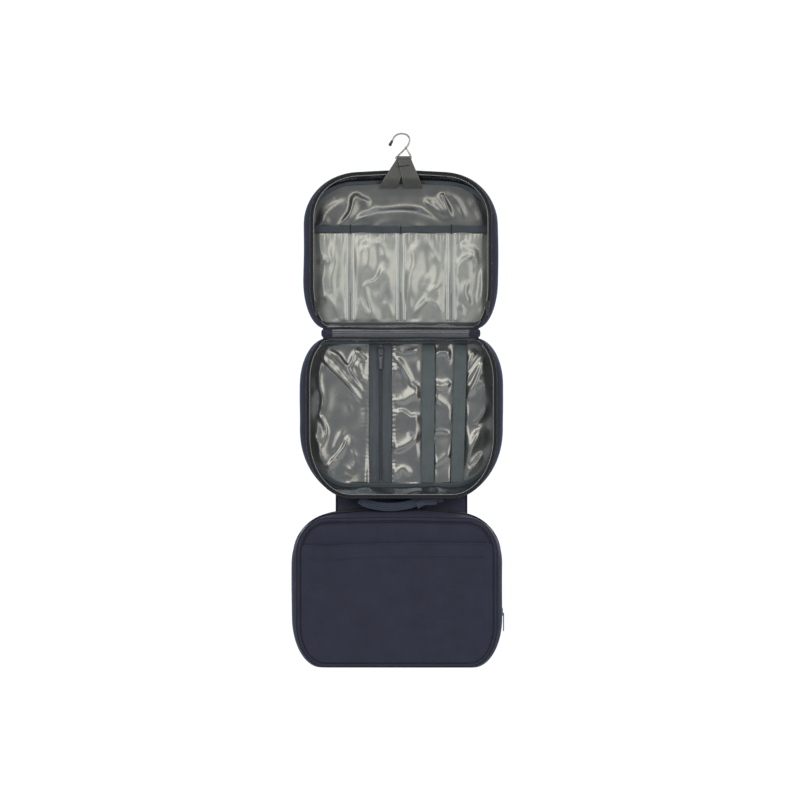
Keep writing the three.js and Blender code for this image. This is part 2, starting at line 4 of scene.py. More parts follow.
import bmesh
import bpy
import numpy as np
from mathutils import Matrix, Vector


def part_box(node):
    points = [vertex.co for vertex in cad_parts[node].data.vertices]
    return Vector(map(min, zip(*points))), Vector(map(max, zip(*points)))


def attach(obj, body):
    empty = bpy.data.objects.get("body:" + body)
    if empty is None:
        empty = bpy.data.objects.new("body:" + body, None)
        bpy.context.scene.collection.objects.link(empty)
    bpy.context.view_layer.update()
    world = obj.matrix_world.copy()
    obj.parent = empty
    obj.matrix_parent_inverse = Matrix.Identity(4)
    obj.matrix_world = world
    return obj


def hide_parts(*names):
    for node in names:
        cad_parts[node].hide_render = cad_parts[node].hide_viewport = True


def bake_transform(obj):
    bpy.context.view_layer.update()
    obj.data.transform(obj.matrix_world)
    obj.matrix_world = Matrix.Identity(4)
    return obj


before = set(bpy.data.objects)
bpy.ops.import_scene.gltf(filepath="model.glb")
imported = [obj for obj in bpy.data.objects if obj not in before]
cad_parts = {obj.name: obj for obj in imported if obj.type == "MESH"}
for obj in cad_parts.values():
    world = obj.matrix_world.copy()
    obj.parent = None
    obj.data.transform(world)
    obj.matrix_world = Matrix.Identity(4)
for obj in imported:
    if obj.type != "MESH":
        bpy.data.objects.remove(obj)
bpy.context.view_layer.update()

MM = 0.001
BACKWARD = (0, 1, 0)     # from the bag's opening to its back

# ---- Places, in millimetres, worked out from the frame -----------------------------------------


def node_low(name):
    return np.array(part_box(name)[0]) / MM


def node_high(name):
    return np.array(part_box(name)[1]) / MM


def node_middle(name):
    return (node_low(name) + node_high(name)) / 2


RIM_Y = node_low("upper_gusset")[1]
FOLD_TOP = node_low("upper_gusset")[2]
FOLD_BOTTOM = node_high("middle_gusset")[2]
FLAP_TOP = node_low("flap_hem_upper")[2] - 0.3
FLAP_BOTTOM = node_high("flap_hem_lower")[2] + 0.3
FLAP_HALF = node_high("connecting_flap")[0]
FLAP_BACK = node_high("connecting_flap")[1]

UPPER_BACK = 26
MIDDLE_BACK = 30

# How far each part of the bag hangs out of line
UPPER_X = -1.4
MIDDLE_X = -0.6
LOWER_X = -5.9

# Outline of each wall at its front, middle and back: half width, top, bottom, the corners' radii, and how
# far the top edge falls from its middle to its corners.
UPPER = [
    dict(y=RIM_Y, half=107.5, top=-41.8, bottom=FOLD_TOP, tx=55, tz=55, bx=24, bz=52, arch=3.0),
    dict(y=14, half=115.4, top=-43.0, bottom=-228.5, tx=60, tz=60, bx=26, bz=57, arch=2.5),
    dict(y=24, half=112, top=-50.5, bottom=-226.5, tx=57, tz=52, bx=25, bz=52, arch=2.5),
]
MIDDLE = [
    dict(y=RIM_Y, half=113, top=FOLD_BOTTOM, bottom=-429.3, tx=29, tz=50, bx=54, bz=72, arch=0),
    dict(y=15, half=120.6, top=-239.6, bottom=-425, tx=33, tz=55, bx=60, bz=76, arch=0),
    dict(y=28, half=117.4, top=-240.8, bottom=-418, tx=30, tz=52, bx=57, bz=66, arch=0),
]
LOWER_LID = [
    dict(y=-6.5, half=113, top=-455.5, bottom=-621.5, tx=33, tz=38, bx=28, bz=44, arch=1.2),
    dict(y=8, half=124.2, top=-447.5, bottom=-629.5, tx=52, tz=57, bx=34, bz=58, arch=3.0),
    dict(y=20.2, half=121.8, top=-441.0, bottom=-627, tx=52, tz=52, bx=33, bz=58, arch=6.5),
]
LOWER_CASE = [
    dict(y=20.8, half=121.6, top=-440.8, bottom=-627, tx=52, tz=52, bx=33, bz=58, arch=6.5),
    dict(y=24.5, half=120.4, top=-440.2, bottom=-627, tx=52, tz=52, bx=33, bz=58, arch=6.5),
    dict(y=28, half=118.5, top=-439.5, bottom=-626.5, tx=52, tz=52, bx=33, bz=58, arch=6.5),
]

# ---- Outlines and fields -----------------------------------------------------------------------


def station_at(stations, share):
    """The outline at a share of the wall's depth, smoothly through its three stations."""
    weights = [
        (share - 0.5) * (share - 1) * 2,
        -4 * share * (share - 1),
        share * (share - 0.5) * 2,
    ]
    return {key: sum(w * s[key] for w, s in zip(weights, stations)) for key in stations[0]}


def inset(station, distance):
    out = dict(station)
    out["half"] -= distance
    out["top"] -= distance
    out["bottom"] += distance
    for key in ("tx", "tz", "bx", "bz"):
        out[key] = max(out[key] - distance, 1.0)
    return out


def outline(station, corner=14, side=22):
    """Points (x, z) round an outline, clockwise from the lower left, as many for every station."""
    half, top, bottom = station["half"], station["top"], station["bottom"]
    tx, tz, bx, bz = station["tx"], station["tz"], station["bx"], station["bz"]
    centres = [
        (-half + bx, bottom + bz, bx, bz, 1.5 * math.pi),
        (-half + tx, top - tz, tx, tz, math.pi),
        (half - tx, top - tz, tx, tz, 0.5 * math.pi),
        (half - bx, bottom + bz, bx, bz, 0.0),
    ]
    points = []
    arcs = []
    for cx, cz, rx, rz, start in centres:
        angles = start - np.linspace(0, math.pi / 2, corner + 1)
        arcs.append(np.stack([cx + rx * np.cos(angles), cz + rz * np.sin(angles)], 1))
    for i, arc in enumerate(arcs):
        following = arcs[(i + 1) % 4][0]
        steps = np.linspace(0, 1, side + 1)[1:-1, None]
        points.append(arc)
        points.append(arc[-1] * (1 - steps) + following * steps)
    flat = np.concatenate(points)
    flat[:, 1] += arch_drop(station, flat[:, 0], flat[:, 1])
    return flat


def arch_drop(station, x, z):
    """How far the top edge's arch lowers a place in the outline; nothing at the bottom."""
    share = np.clip((z - station["bottom"]) / (station["top"] - station["bottom"]), 0, 1)
    return -station.get("arch", 0) * step(np.abs(x), 0, 80) * share**3


def half_width(station, z):
    """Half the outline's width at each height."""
    z = np.asarray(z, float)
    wide = np.full(z.shape, float(station["half"]))
    over = np.clip((z - (station["top"] - station["tz"])) / station["tz"], 0, 1)
    under = np.clip(((station["bottom"] + station["bz"]) - z) / station["bz"], 0, 1)
    wide -= station["tx"] * (1 - np.sqrt(1 - over**2))
    wide -= station["bx"] * (1 - np.sqrt(1 - under**2))
    return wide


def waves(x, z, seed, size, height, count=7):
    """A smooth random field: a few plane waves of about one size."""
    draw = np.random.RandomState(seed)
    total = np.zeros(np.shape(x))
    for _ in range(count):
        angle = draw.uniform(0, 2 * math.pi)
        length = size * draw.uniform(0.7, 1.6)
        phase = draw.uniform(0, 2 * math.pi)
        total = total + np.sin((x * math.cos(angle) + z * math.sin(angle)) * 2 * math.pi / length + phase)
    return height * total / math.sqrt(count)


def catmull(points, count):
    """A smooth line through points, with count steps between each two."""
    points = np.asarray(points, float)
    padded = np.concatenate([[2 * points[0] - points[1]], points, [2 * points[-1] - points[-2]]])
    out = []
    for i in range(len(points) - 1):
        a, b, c, d = padded[i : i + 4]
        square = 2 * a - 5 * b + 4 * c - d
        cubic = 3 * b - a - 3 * c + d
        for t in np.linspace(0, 1, count, endpoint=False):
            out.append(0.5 * (2 * b + (c - a) * t + square * t**2 + cubic * t**3))
    out.append(points[-1])
    return np.array(out)


def step(value, low, high):
    share = np.clip((value - low) / (high - low), 0, 1)
    return share * share * (3 - 2 * share)


# ---- Mesh helpers ------------------------------------------------------------------------------


def add_mesh(name, points, faces, material, smooth=True):
    mesh = bpy.data.meshes.new(name)
    mesh.from_pydata((np.asarray(points, float) * MM).tolist(), [], faces)
    mesh.validate()
    if smooth:
        mesh.polygons.foreach_set("use_smooth", [True] * len(mesh.polygons))
    piece = bpy.data.objects.new(name, mesh)
    bpy.context.scene.collection.objects.link(piece)
    piece.data.materials.append(material)
    fix = bmesh.new()
    fix.from_mesh(mesh)
    bmesh.ops.recalc_face_normals(fix, faces=fix.faces)
    fix.to_mesh(mesh)
    fix.free()
    return piece


def grid_faces(rows, columns, wrap_rows=False, wrap_columns=False, base=0):
    """Four-sided faces between the points of a grid, which may close on itself either way."""
    faces = []
    for r in range(rows if wrap_rows else rows - 1):
        here = base + r * columns
        there = base + (r + 1) % rows * columns
        for c in range(columns if wrap_columns else columns - 1):
            c2 = (c + 1) % columns
            faces.append((here + c, here + c2, there + c2, there + c))
    return faces


def tube_faces(rings, count, base=0, closed=False):
    """Faces of a tube of equal rings, with a cap at each end unless the tube closes on itself."""
    faces = grid_faces(rings, count, closed, True, base)
    if not closed:
        last = base + (rings - 1) * count
        faces.append(tuple(range(base, base + count)))
        faces.append(tuple(range(last + count - 1, last - 1, -1)))
    return faces


def unit(vectors):
    """Each row of an array, scaled to length one."""
    return vectors / (np.linalg.norm(vectors, axis=1)[:, None] + 1e-12)


def smooth_mesh(piece):
    modifier = piece.modifiers.new("Smooth", "SUBSURF")
    modifier.levels = 1
    modifier.render_levels = 1
    return piece


def bevel(piece, width, segments=2):
    modifier = piece.modifiers.new("Bevel", "BEVEL")
    modifier.width = width * MM
    modifier.segments = segments
    modifier.limit_method = "ANGLE"
    modifier.harden_normals = False
    return piece


def ring_wall(name, stations, x, out_inset, in_inset, material, rows, ripple, fine=(14, 22)):
    """A wall that follows a tray's outlines from front to back, with both faces and both edges."""
    outer = []
    inner = []
    for r in range(rows + 1):
        here = station_at(stations, r / rows)
        for distance, store in ((out_inset, outer), (in_inset, inner)):
            flat = outline(inset(here, distance), *fine)
            centre = np.array([0, (here["top"] + here["bottom"]) / 2])
            push = ripple(np.arange(len(flat)), r / rows)
            flat = flat + unit(flat - centre) * push[:, None]
            depth = np.full((len(flat), 1), here["y"])
            store.append(np.concatenate([flat[:, :1] + x, depth, flat[:, 1:]], 1))
    section = outer + inner[::-1]
    faces = grid_faces(len(section), len(outer[0]), True, True)
    return add_mesh(name, np.concatenate(section), faces, material)


def sheet_grid(station, x, y_of, columns, rows, top=None, bottom=None, left=None, right=None):
    """Grid points of a sheet inside an outline; y_of gives its depth from (x, z)."""
    top = station["top"] if top is None else top
    bottom = station["bottom"] if bottom is None else bottom
    shares = np.linspace(0, 1, rows)
    z = bottom + (top - bottom) * (shares * 0.6 + 0.4 * (1 - np.cos(math.pi * shares)) / 2)
    wide = half_width(station, z)
    low = -wide if left is None else np.maximum(-wide, left)
    high = wide if right is None else np.minimum(wide, right)
    across = np.linspace(0, 1, columns)
    gx = low[:, None] + (high - low)[:, None] * across[None, :]
    gz = np.repeat(z[:, None], columns, 1)
    gz = gz + arch_drop(station, gx, gz)
    return np.stack([gx + x, y_of(gx, gz), gz], 2)


def sheet(name, grid, material, thickness=0.35):
    """A sheet of cloth or film through a grid of points, thickened to both sides."""
    rows, columns, _ = grid.shape
    piece = add_mesh(name, grid.reshape(-1, 3), grid_faces(rows, columns), material)
    modifier = piece.modifiers.new("Thickness", "SOLIDIFY")
    modifier.thickness = thickness * MM
    modifier.offset = 0
    return piece


def resample(points, spacing):
    """Evenly spaced points and directions along a line."""
    points = np.asarray(points, float)
    lengths = np.concatenate([[0], np.cumsum(np.linalg.norm(np.diff(points, axis=0), axis=1))])
    count = max(int(lengths[-1] / spacing), 1)
    at = np.linspace(0, lengths[-1], count + 1)
    out = np.stack([np.interp(at, lengths, points[:, i]) for i in range(3)], 1)
    return out, unit(np.gradient(out, axis=0))


def sweep(name, path, section, material, up=BACKWARD, closed=False):
    """A section of (side, height) points carried along a path. up is the section's height direction."""
    path = np.asarray(path, float)
    if closed:
        along = unit(np.roll(path, -1, 0) - np.roll(path, 1, 0))
    else:
        along = unit(np.gradient(path, axis=0))
    side = unit(np.cross(along, up))
    height = np.cross(side, along)
    section = np.asarray(section, float)[None, :, :, None]
    points = path[:, None] + side[:, None] * section[:, :, 0] + height[:, None] * section[:, :, 1]
    faces = tube_faces(len(path), section.shape[1], closed=closed)
    return add_mesh(name, points.reshape(-1, 3), faces, material)


def strap_section(width, thick, edge=0.35, ribs=0, depth=0.12):
    """A flat band's section with rounded edges and, if asked, ribs along its faces."""
    count = max(ribs * 4, 6)
    across = np.linspace(-width / 2 + edge, width / 2 - edge, count + 1)
    lift = depth * np.cos(across / width * 2 * math.pi * ribs) if ribs else 0 * across
    face = [(s, thick / 2 + l) for s, l in zip(across, lift)]
    back = [(s, -thick / 2 - l) for s, l in zip(across[::-1], lift[::-1])]
    return face + [(width / 2, 0)] + back + [(-width / 2, 0)]


def round_section(radius, sides=10):
    angles = np.linspace(0, 2 * math.pi, sides, endpoint=False)
    return [(radius * math.cos(a), radius * math.sin(a)) for a in angles]


def bricks(name, centres, along, size, material, up=BACKWARD):
    """Many small rounded bars in one mesh: stitches or zip teeth. size is length, width, height."""
    centres = np.asarray(centres, float)
    along = np.broadcast_to(np.asarray(along, float), centres.shape)
    side = unit(np.cross(along, up))
    height = np.cross(side, along)
    ends = [(-0.5, 0.55), (-0.3, 1.0), (0.3, 1.0), (0.5, 0.55)]
    ring = [(0.5, 0.0), (0.3, 0.42), (-0.3, 0.42), (-0.5, 0.0), (-0.3, -0.42), (0.3, -0.42)]
    length, wide, tall = size
    points = []
    faces = []
    for c, a, s, h in zip(centres, along, side, height):
        faces += tube_faces(len(ends), len(ring), len(points))
        for position, scale in ends:
            for w, t in ring:
                points.append(c + a * position * length + s * w * wide * scale + h * t * tall * scale)
    return add_mesh(name, points, faces, material)


def outline_path(station, x, y, keep=None):
    """An outline as a line in space, starting at the lowest point on the left or where keep starts it."""
    flat = outline(station)
    path = np.stack([flat[:, 0] + x, np.full(len(flat), float(y)), flat[:, 1]], 1)
    if keep is None:
        return path
    chosen = keep(path[:, 2])
    start = np.argmax(chosen & ~np.roll(chosen, 1))
    rolled = np.roll(path, -start, 0)
    return rolled[np.roll(chosen, -start)]


# ---- Materials ---------------------------------------------------------------------------------


class Graph:
    """A short way to build a node material."""

    def __init__(self, name, slot, color, roughness, metallic=0.0, **sockets):
        self.material = bpy.data.materials.new(name)
        self.material.use_nodes = True
        self.tree = self.material.node_tree
        self.shader = self.tree.nodes["Principled BSDF"]
        self.shader.inputs["Base Color"].default_value = (*color, 1)
        self.shader.inputs["Roughness"].default_value = roughness
        self.shader.inputs["Metallic"].default_value = metallic
        for key, value in sockets.items():
            self.shader.inputs[key.replace("_", " ")].default_value = value
        self.place = self.node("ShaderNodeTexCoord").outputs["Object"]

    def node(self, kind, **settings):
        made = self.tree.nodes.new(kind)
        for key, value in settings.items():
            setattr(made, key, value)
        return made

    def link(self, source, target):
        self.tree.links.new(source, target)

    def noise(self, scale, detail, roughness=0.55):
        made = self.node("ShaderNodeTexNoise")
        made.inputs["Scale"].default_value = scale
        made.inputs["Detail"].default_value = detail
        made.inputs["Roughness"].default_value = roughness
        self.link(self.place, made.inputs["Vector"])
        return made.outputs["Fac"]

    def threads(self, direction, period):
        made = self.node("ShaderNodeTexWave", bands_direction=direction)
        made.wave_type = "BANDS"
        made.wave_profile = "SIN"
        made.inputs["Scale"].default_value = 2 * math.pi / (20 * period * MM)
        made.inputs["Distortion"].default_value = 0.4
        made.inputs["Detail"].default_value = 1.0
        self.link(self.place, made.inputs["Vector"])
        return made.outputs["Fac"]

    def math(self, operation, first, second):
        made = self.node("ShaderNodeMath", operation=operation)
        for socket, value in zip(made.inputs, (first, second)):
            if isinstance(value, (int, float)):
                socket.default_value = value
            else:
                self.link(value, socket)
        return made.outputs[0]

    def mix_color(self, factor, first, second):
        made = self.node("ShaderNodeMix", data_type="RGBA")
        self.link(factor, made.inputs[0])
        made.inputs[6].default_value = (*first, 1)
        made.inputs[7].default_value = (*second, 1)
        return made.outputs[2]

    def ramp(self, value, low, high, out_low=0.0, out_high=1.0):
        made = self.node("ShaderNodeMapRange")
        made.inputs["From Min"].default_value = low
        made.inputs["From Max"].default_value = high
        made.inputs["To Min"].default_value = out_low
        made.inputs["To Max"].default_value = out_high
        self.link(value, made.inputs["Value"])
        return made.outputs["Result"]

    def bump(self, height, strength, distance, below=None):
        made = self.node("ShaderNodeBump")
        made.inputs["Strength"].default_value = strength
        made.inputs["Distance"].default_value = distance * MM
        self.link(height, made.inputs["Height"])
        if below is not None:
            self.link(below, made.inputs["Normal"])
        return made.outputs["Normal"]

    def finish(self, color=None, roughness=None, normal=None):
        for socket, value in (("Base Color", color), ("Roughness", roughness), ("Normal", normal)):
            if value is not None:
                self.link(value, self.shader.inputs[socket])
        return self.material


def cloth_material(name, slot, dark, light, period, roughness=0.85, directions=("X", "Z"), tint=None):
    """Plain-woven cloth: crossing threads, a little unevenness in colour and nap."""
    sockets = dict(Sheen_Weight=0.05, Sheen_Roughness=0.45, Specular_IOR_Level=0.1)
    graph = Graph(name, slot, light, roughness, **sockets)
    if tint:
        graph.shader.inputs["Sheen Tint"].default_value = (*tint, 1)
    first = graph.threads(directions[0], period)
    second = graph.threads(directions[1], period)
    weave = graph.math("MAXIMUM", first, second)
    mottle = graph.noise(60, 4)
    fine = graph.noise(900, 2)
    blend = graph.math("ADD", graph.math("MULTIPLY", weave, 0.45), graph.math("MULTIPLY", mottle, 0.55))
    color = graph.mix_color(graph.ramp(blend, 0.3, 0.85), dark, light)
    rough = graph.ramp(fine, 0.2, 0.8, roughness - 0.08, min(roughness + 0.08, 1.0))
    slub = graph.bump(mottle, 0.12, 0.8)
    return graph.finish(color, rough, graph.bump(weave, 0.5, period * 0.35, slub))


def film_material(name, dark, light, roughness=0.29, gloss=0.7, coat=0.45):
    """Thin glossy film laid over grey cloth: fine orange peel, faint cloth pattern and cloudy patches."""
    sockets = dict(Specular_IOR_Level=gloss, Coat_Weight=coat, Coat_Roughness=0.14)
    graph = Graph(name, "lining_film", light, roughness, **sockets)
    cloud = graph.noise(26, 5, 0.6)
    color = graph.mix_color(graph.ramp(cloud, 0.3, 0.72), dark, light)
    rough = graph.ramp(graph.noise(85, 3), 0.25, 0.75, roughness - 0.05, roughness + 0.05)
    peel = graph.bump(graph.noise(420, 3), 0.08, 0.3)
    return graph.finish(color, rough, graph.bump(graph.noise(60, 3, 0.5), 0.12, 1.0, peel))


NAVY = cloth_material(
    "navy_cloth", "navy_fabric", (0.0047, 0.0052, 0.0102), (0.0087, 0.0096, 0.0184), 0.55,
    tint=(0.5, 0.55, 1.0),
)
NAVY_EDGE = cloth_material(
    "navy_edge", "navy_fabric", (0.0024, 0.0025, 0.0050), (0.0046, 0.0049, 0.0092), 0.4
)
# Navy made lighter for the handle: painted light on the handle, which hangs in shade below the middle tray
HANDLE_NAVY_PAINTED_LIGHT = cloth_material(
    "handle_webbing", "navy_fabric", (0.0097, 0.0120, 0.0217), (0.0180, 0.0222, 0.0389), 0.5, 0.7
)
# Navy made lighter for the flap: painted light, standing in for light on the flap, which hangs in shade between
# the trays
FLAP_NAVY_PAINTED_LIGHT = cloth_material(
    "flap_cloth", "navy_fabric", (0.0100, 0.0106, 0.0188), (0.0184, 0.0195, 0.0340), 0.55
)
SLATE_X = cloth_material(
    "grosgrain", "slate_trim", (0.0092, 0.0115, 0.0152), (0.0185, 0.0229, 0.0289), 0.8, 0.72, ("X", "X")
)
SLATE_Z = cloth_material(
    "elastic", "slate_trim", (0.0175, 0.0221, 0.0255), (0.0306, 0.0383, 0.0425), 0.7, 0.75, ("Z", "X")
)
# Lighter copy of the grosgrain for the seam tape: painted light on the tape, which lies in shade in the trays'
# inner corners
SLATE_SEAM_PAINTED_LIGHT = cloth_material(
    "seam_binding", "slate_trim", (0.0165, 0.0205, 0.0262), (0.0310, 0.0382, 0.0470), 0.8, 0.7, ("X", "X")
)
ZIP_CLOTH = cloth_material(
    "pocket_tape", "slate_trim", (0.0139, 0.0169, 0.0216), (0.0244, 0.0293, 0.0362), 0.6, 0.8
)
BLACK_TAPE = cloth_material(
    "zip_tape", "black_tape", (0.0016, 0.0018, 0.0025), (0.0041, 0.0043, 0.0061), 0.5, 0.75
)
WEBBING = cloth_material(
    "grey_webbing", "grey_webbing", (0.0185, 0.0189, 0.0179), (0.0355, 0.0363, 0.0344), 0.9, 0.8
)
WEBBING_EDGE = cloth_material(
    "webbing_edge", "grey_webbing", (0.0333, 0.0340, 0.0326), (0.0577, 0.0585, 0.0555), 0.9, 0.8
)
FILM = film_material("film", (0.0108, 0.0124, 0.0144), (0.0200, 0.0218, 0.0222), 0.3, 0.62, 0.38)
# Darker copy of the film for the upper floor: painted shade, for the shade under the rim and the strap
FLOOR_FILM_PAINTED_SHADE = film_material(
    "floor_film", (0.0060, 0.0072, 0.0092), (0.0150, 0.0165, 0.0170), 0.35, 0.5, 0.18
)
# Paler film for the pockets: partly the pockets' two layers of film, partly painted highlight
POCKET_FILM_AND_SHEEN = film_material(
    "pocket_film", (0.0384, 0.0428, 0.0446), (0.0775, 0.0806, 0.0750), 0.37, 0.55, 0.16
)
WELD_FILM = film_material("weld_film", (0.0560, 0.0635, 0.0690), (0.0870, 0.0965, 0.1000), 0.46)
# Darker copy of the film for the insides of the tray walls and the floor under the middle pockets: painted
# shade
PAINTED_SHADE_FILM = film_material("wall_film", (0.0037, 0.0045, 0.0057), (0.0090, 0.0103, 0.0115), 0.24)
HINGE_FILM = film_material(
    "hinge_film", (0.0085, 0.0105, 0.0140), (0.0160, 0.0195, 0.0250), 0.3, 0.35, 0.12
)


def plain_material(name, slot, color, roughness, metallic=0.0, grain=0.08, size=260, gloss=0.5):
    """Moulded or drawn material: a fine grain in its gloss and surface."""
    graph = Graph(name, slot, color, roughness, metallic, Specular_IOR_Level=gloss)
    grains = graph.noise(size, 3)
    rough = graph.ramp(grains, 0.25, 0.75, max(roughness - 0.06, 0.05), roughness + 0.08)
    darker = tuple(c * 0.8 for c in color)
    tone = graph.mix_color(grains, darker, color)
    return graph.finish(tone, rough, graph.bump(grains, grain, 0.1))


STEEL = plain_material("steel_wire", "steel_wire", (0.13, 0.12, 0.108), 0.24, 1.0, 0.05, 900)
CAP_BLACK = plain_material("cap_black", "black_cap", (0.003, 0.003, 0.0035), 0.5, gloss=0.2)
ZIP_PLASTIC = plain_material("zip_plastic", "zip_hardware", (0.016, 0.020, 0.029), 0.36, gloss=0.4)
ZIP_BLACK = plain_material("zip_black", "zip_hardware", (0.005, 0.0055, 0.007), 0.45, gloss=0.22)
COIL_DARK = plain_material("coil_dark", "zip_hardware", (0.0042, 0.0052, 0.0085), 0.4, gloss=0.35)
TAPE_DARK = plain_material("tape_thread", "slate_trim", (0.0055, 0.0066, 0.0092), 0.7)
THREAD_NAVY = plain_material("thread_navy", "navy_fabric", (0.018, 0.019, 0.031), 0.8)
THREAD_GREY = plain_material("thread_grey", "slate_trim", (0.048, 0.056, 0.062), 0.8)


def settle(piece, body, *nodes):
    """The piece rides on a body and stands for CAD nodes."""
    if nodes:
        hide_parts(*nodes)
    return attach(piece, body)


def trim(name, path, section, material, body, *nodes, **how):
    """A swept piece that rides on a body."""
    return settle(sweep(name, path, section, material, **how), body, *nodes)


def cord(name, path, radius, material, body, *nodes, sides=10, **how):
    """A round swept piece that rides on a body."""
    return trim(name, path, round_section(radius, sides), material, body, *nodes, **how)


def stitches(name, path, material, body, length=2.0, pitch=3.0, width=0.45, height=0.35):
    points, along = resample(path, pitch)
    settle(bricks(name, points, along, (length, width, height), material), body)


def zip_teeth(name, path, width, body, up_at=None):
    """A row of black teeth along a path."""
    points, along = resample(path, 1.5)
    up = up_at(points) if up_at else BACKWARD
    settle(bricks(name, points, along, (0.85, width, 1.4), ZIP_BLACK, up), body)


def bend(piece, slot, nodes, bodies, y, fold, reach):
    """Hides the CAD nodes a piece stands for, and bakes the piece's place into its mesh."""
    if nodes:
        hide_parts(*nodes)
    start, end = ((0, y * MM, (fold + share * reach) * MM) for share in (1, -1))
    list(bodies)
    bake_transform(piece)
    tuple(start)
    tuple(end)


# ---- Film with folds in it ---------------------------------------------------------------------


FOLD_GAIN = 1.35


def fold(gx, gz, points, width, height, lean=0.0, taper=0.3):
    """How far a fold along a line stands up at each place. lean makes one of its flanks steeper."""
    line = catmull(points, 6)
    steps = len(line) - 1
    nearest = np.full(gx.shape, 1e9)
    side = np.zeros(gx.shape)
    share = np.zeros(gx.shape)
    for i in range(steps):
        (ax, az), (bx, bz) = line[i], line[i + 1]
        dx, dz = bx - ax, bz - az
        t = np.clip(((gx - ax) * dx + (gz - az) * dz) / (dx * dx + dz * dz), 0, 1)
        ox, oz = gx - ax - t * dx, gz - az - t * dz
        gap = ox * ox + oz * oz
        closer = gap < nearest
        nearest = np.where(closer, gap, nearest)
        side = np.where(closer, np.sign(dx * oz - dz * ox), side)
        share = np.where(closer, (i + t) / steps, share)
    blunt = 0.3 * width
    gap = np.sqrt(nearest + blunt**2) - blunt
    ends = step(np.minimum(share, 1 - share), -0.02, taper)
    return FOLD_GAIN * height * ends * np.exp(-((gap / (width * (1 + lean * side))) ** 1.3))


def all_folds(gx, gz, folds):
    total = np.zeros(gx.shape)
    for entry in folds:
        total = total + fold(gx, gz, *entry)
    return total


def small_folds(gx, gz, seed, count, area, angle, spread, length=26, width=2.2, height=0.5):
    """Seeded small folds, mostly along one direction, within area = left, right, low, high."""
    draw = np.random.RandomState(seed)
    total = np.zeros(gx.shape)
    left, right, low, high = area
    for _ in range(count):
        x, z = draw.uniform(left, right), draw.uniform(low, high)
        turn = math.radians(angle + draw.uniform(-spread, spread))
        reach = length * draw.uniform(0.4, 1.1) / 2
        bend = draw.uniform(-0.25, 0.25) * reach
        dx, dz = math.cos(turn) * reach, math.sin(turn) * reach
        points = [(x - dx, z - dz), (x - dz / reach * bend, z + dx / reach * bend), (x + dx, z + dz)]
        scale = draw.uniform(0.3, 1.0)
        lean = draw.uniform(-0.5, 0.5)
        total = total + fold(gx, gz, points, width * (0.6 + scale), height * scale, lean, 0.45)
    return total


def gathers(along, away, seed, pitch, reach, height):
    """Short ruffles that start at a sewn edge and die away from it."""
    draw = np.random.RandomState(seed)
    phase = draw.uniform(0, 6.28, 3)
    rows = (
        np.sin(along / pitch * 2 * math.pi + phase[0] + 1.4 * np.sin(along / pitch * 0.9 + phase[1]))
        * (0.6 + 0.4 * np.sin(along / pitch * 1.7 + phase[2]))
    )
    return height * rows * np.exp(-((away / reach) ** 2)) * step(away, -1.0, 1.5)


# ---- Camera, light and stage -------------------------------------------------------------------

scene = bpy.context.scene
scene.view_settings.view_transform = "Standard"
scene.view_settings.look = "None"

VIEW_X = -2.4
VIEW_Z = -313.0
CAMERA_DISTANCE = 2200
camera_data = bpy.data.cameras.new("camera")
camera_data.lens = 84
camera_data.sensor_width = 36
camera = bpy.data.objects.new("camera", camera_data)
camera.location = (VIEW_X * MM, -CAMERA_DISTANCE * MM, VIEW_Z * MM)
camera.rotation_euler = (math.pi / 2, 0, 0)
scene.collection.objects.link(camera)
scene.camera = camera


def soft_light(name, place, size, power, color):
    """A soft box that faces the bag's middle."""
    data = bpy.data.lights.new(name, "AREA")
    data.shape = "RECTANGLE"
    data.size, data.size_y = size
    data.energy = power
    data.color = color
    light = bpy.data.objects.new(name, data)
    light.location = place
    light.rotation_euler = (Vector(OBJECT_CENTRE) - Vector(place)).to_track_quat("-Z", "Y").to_euler()
    scene.collection.objects.link(light)


OBJECT_CENTRE = (0, 0, VIEW_Z * MM)
WARM = (1.0, 0.955, 0.82)
COOL = (0.76, 0.85, 1.0)
soft_light("key", (-1.12, -1.62, 0.40), (1.15, 1.5), 46, WARM)
soft_light("fill", (1.22, -1.58, 0.0), (1.05, 1.6), 39, WARM)
soft_light("low", (0.0, -1.5, -1.35), (1.6, 0.5), 10, COOL)
soft_light("top", (0.0, -1.6, 0.98), (1.5, 0.5), 27, WARM)
soft_light("crown", (0.2, -0.45, 1.25), (1.4, 0.6), 16, COOL)
soft_light("back_left", (1.3, 1.7, 0.4), (1.0, 1.4), 44, WARM)
soft_light("back_right", (-1.4, 1.6, -0.1), (1.0, 1.4), 30, COOL)

world = bpy.data.worlds.new("studio")
scene.world = world
world.use_nodes = True
world.node_tree.nodes["Background"].inputs["Color"].default_value = (0.90, 0.955, 1.0, 1)
world.node_tree.nodes["Background"].inputs["Strength"].default_value = 1.13


def stage():
    """A plain pale floor, well below the hanging bag."""
    mesh = bpy.data.meshes.new("studio_floor")
    half, floor_z = 1.5, -1.15
    corners = ((-half, -half), (half, -half), (half, half), (-half, half))
    mesh.from_pydata([(x, y, floor_z) for x, y in corners], [], [(0, 1, 2, 3)])
    floor = bpy.data.objects.new("studio_floor", mesh)
    scene.collection.objects.link(floor)
    mesh.materials.append(Graph("studio_paper", None, (0.9, 0.9, 0.9), 0.95).material)


stage()

# ---- Trays -------------------------------------------------------------------------------------

FABRIC = 1.7
FILM_INSET = 2.6
RIM_BAND = 4.4

# Depths of the flat films at rest
UPPER_FLOOR_Y = 21.9
UPPER_POCKET_Y = 21.6
MIDDLE_FLOOR_Y = 27.2
MIDDLE_POCKET_Y = 25.7


def mid_wall(share):
    """Nothing at a wall's two edges and one half way between them."""
    return math.sin(math.pi * min(max(share, 0.0), 1.0))


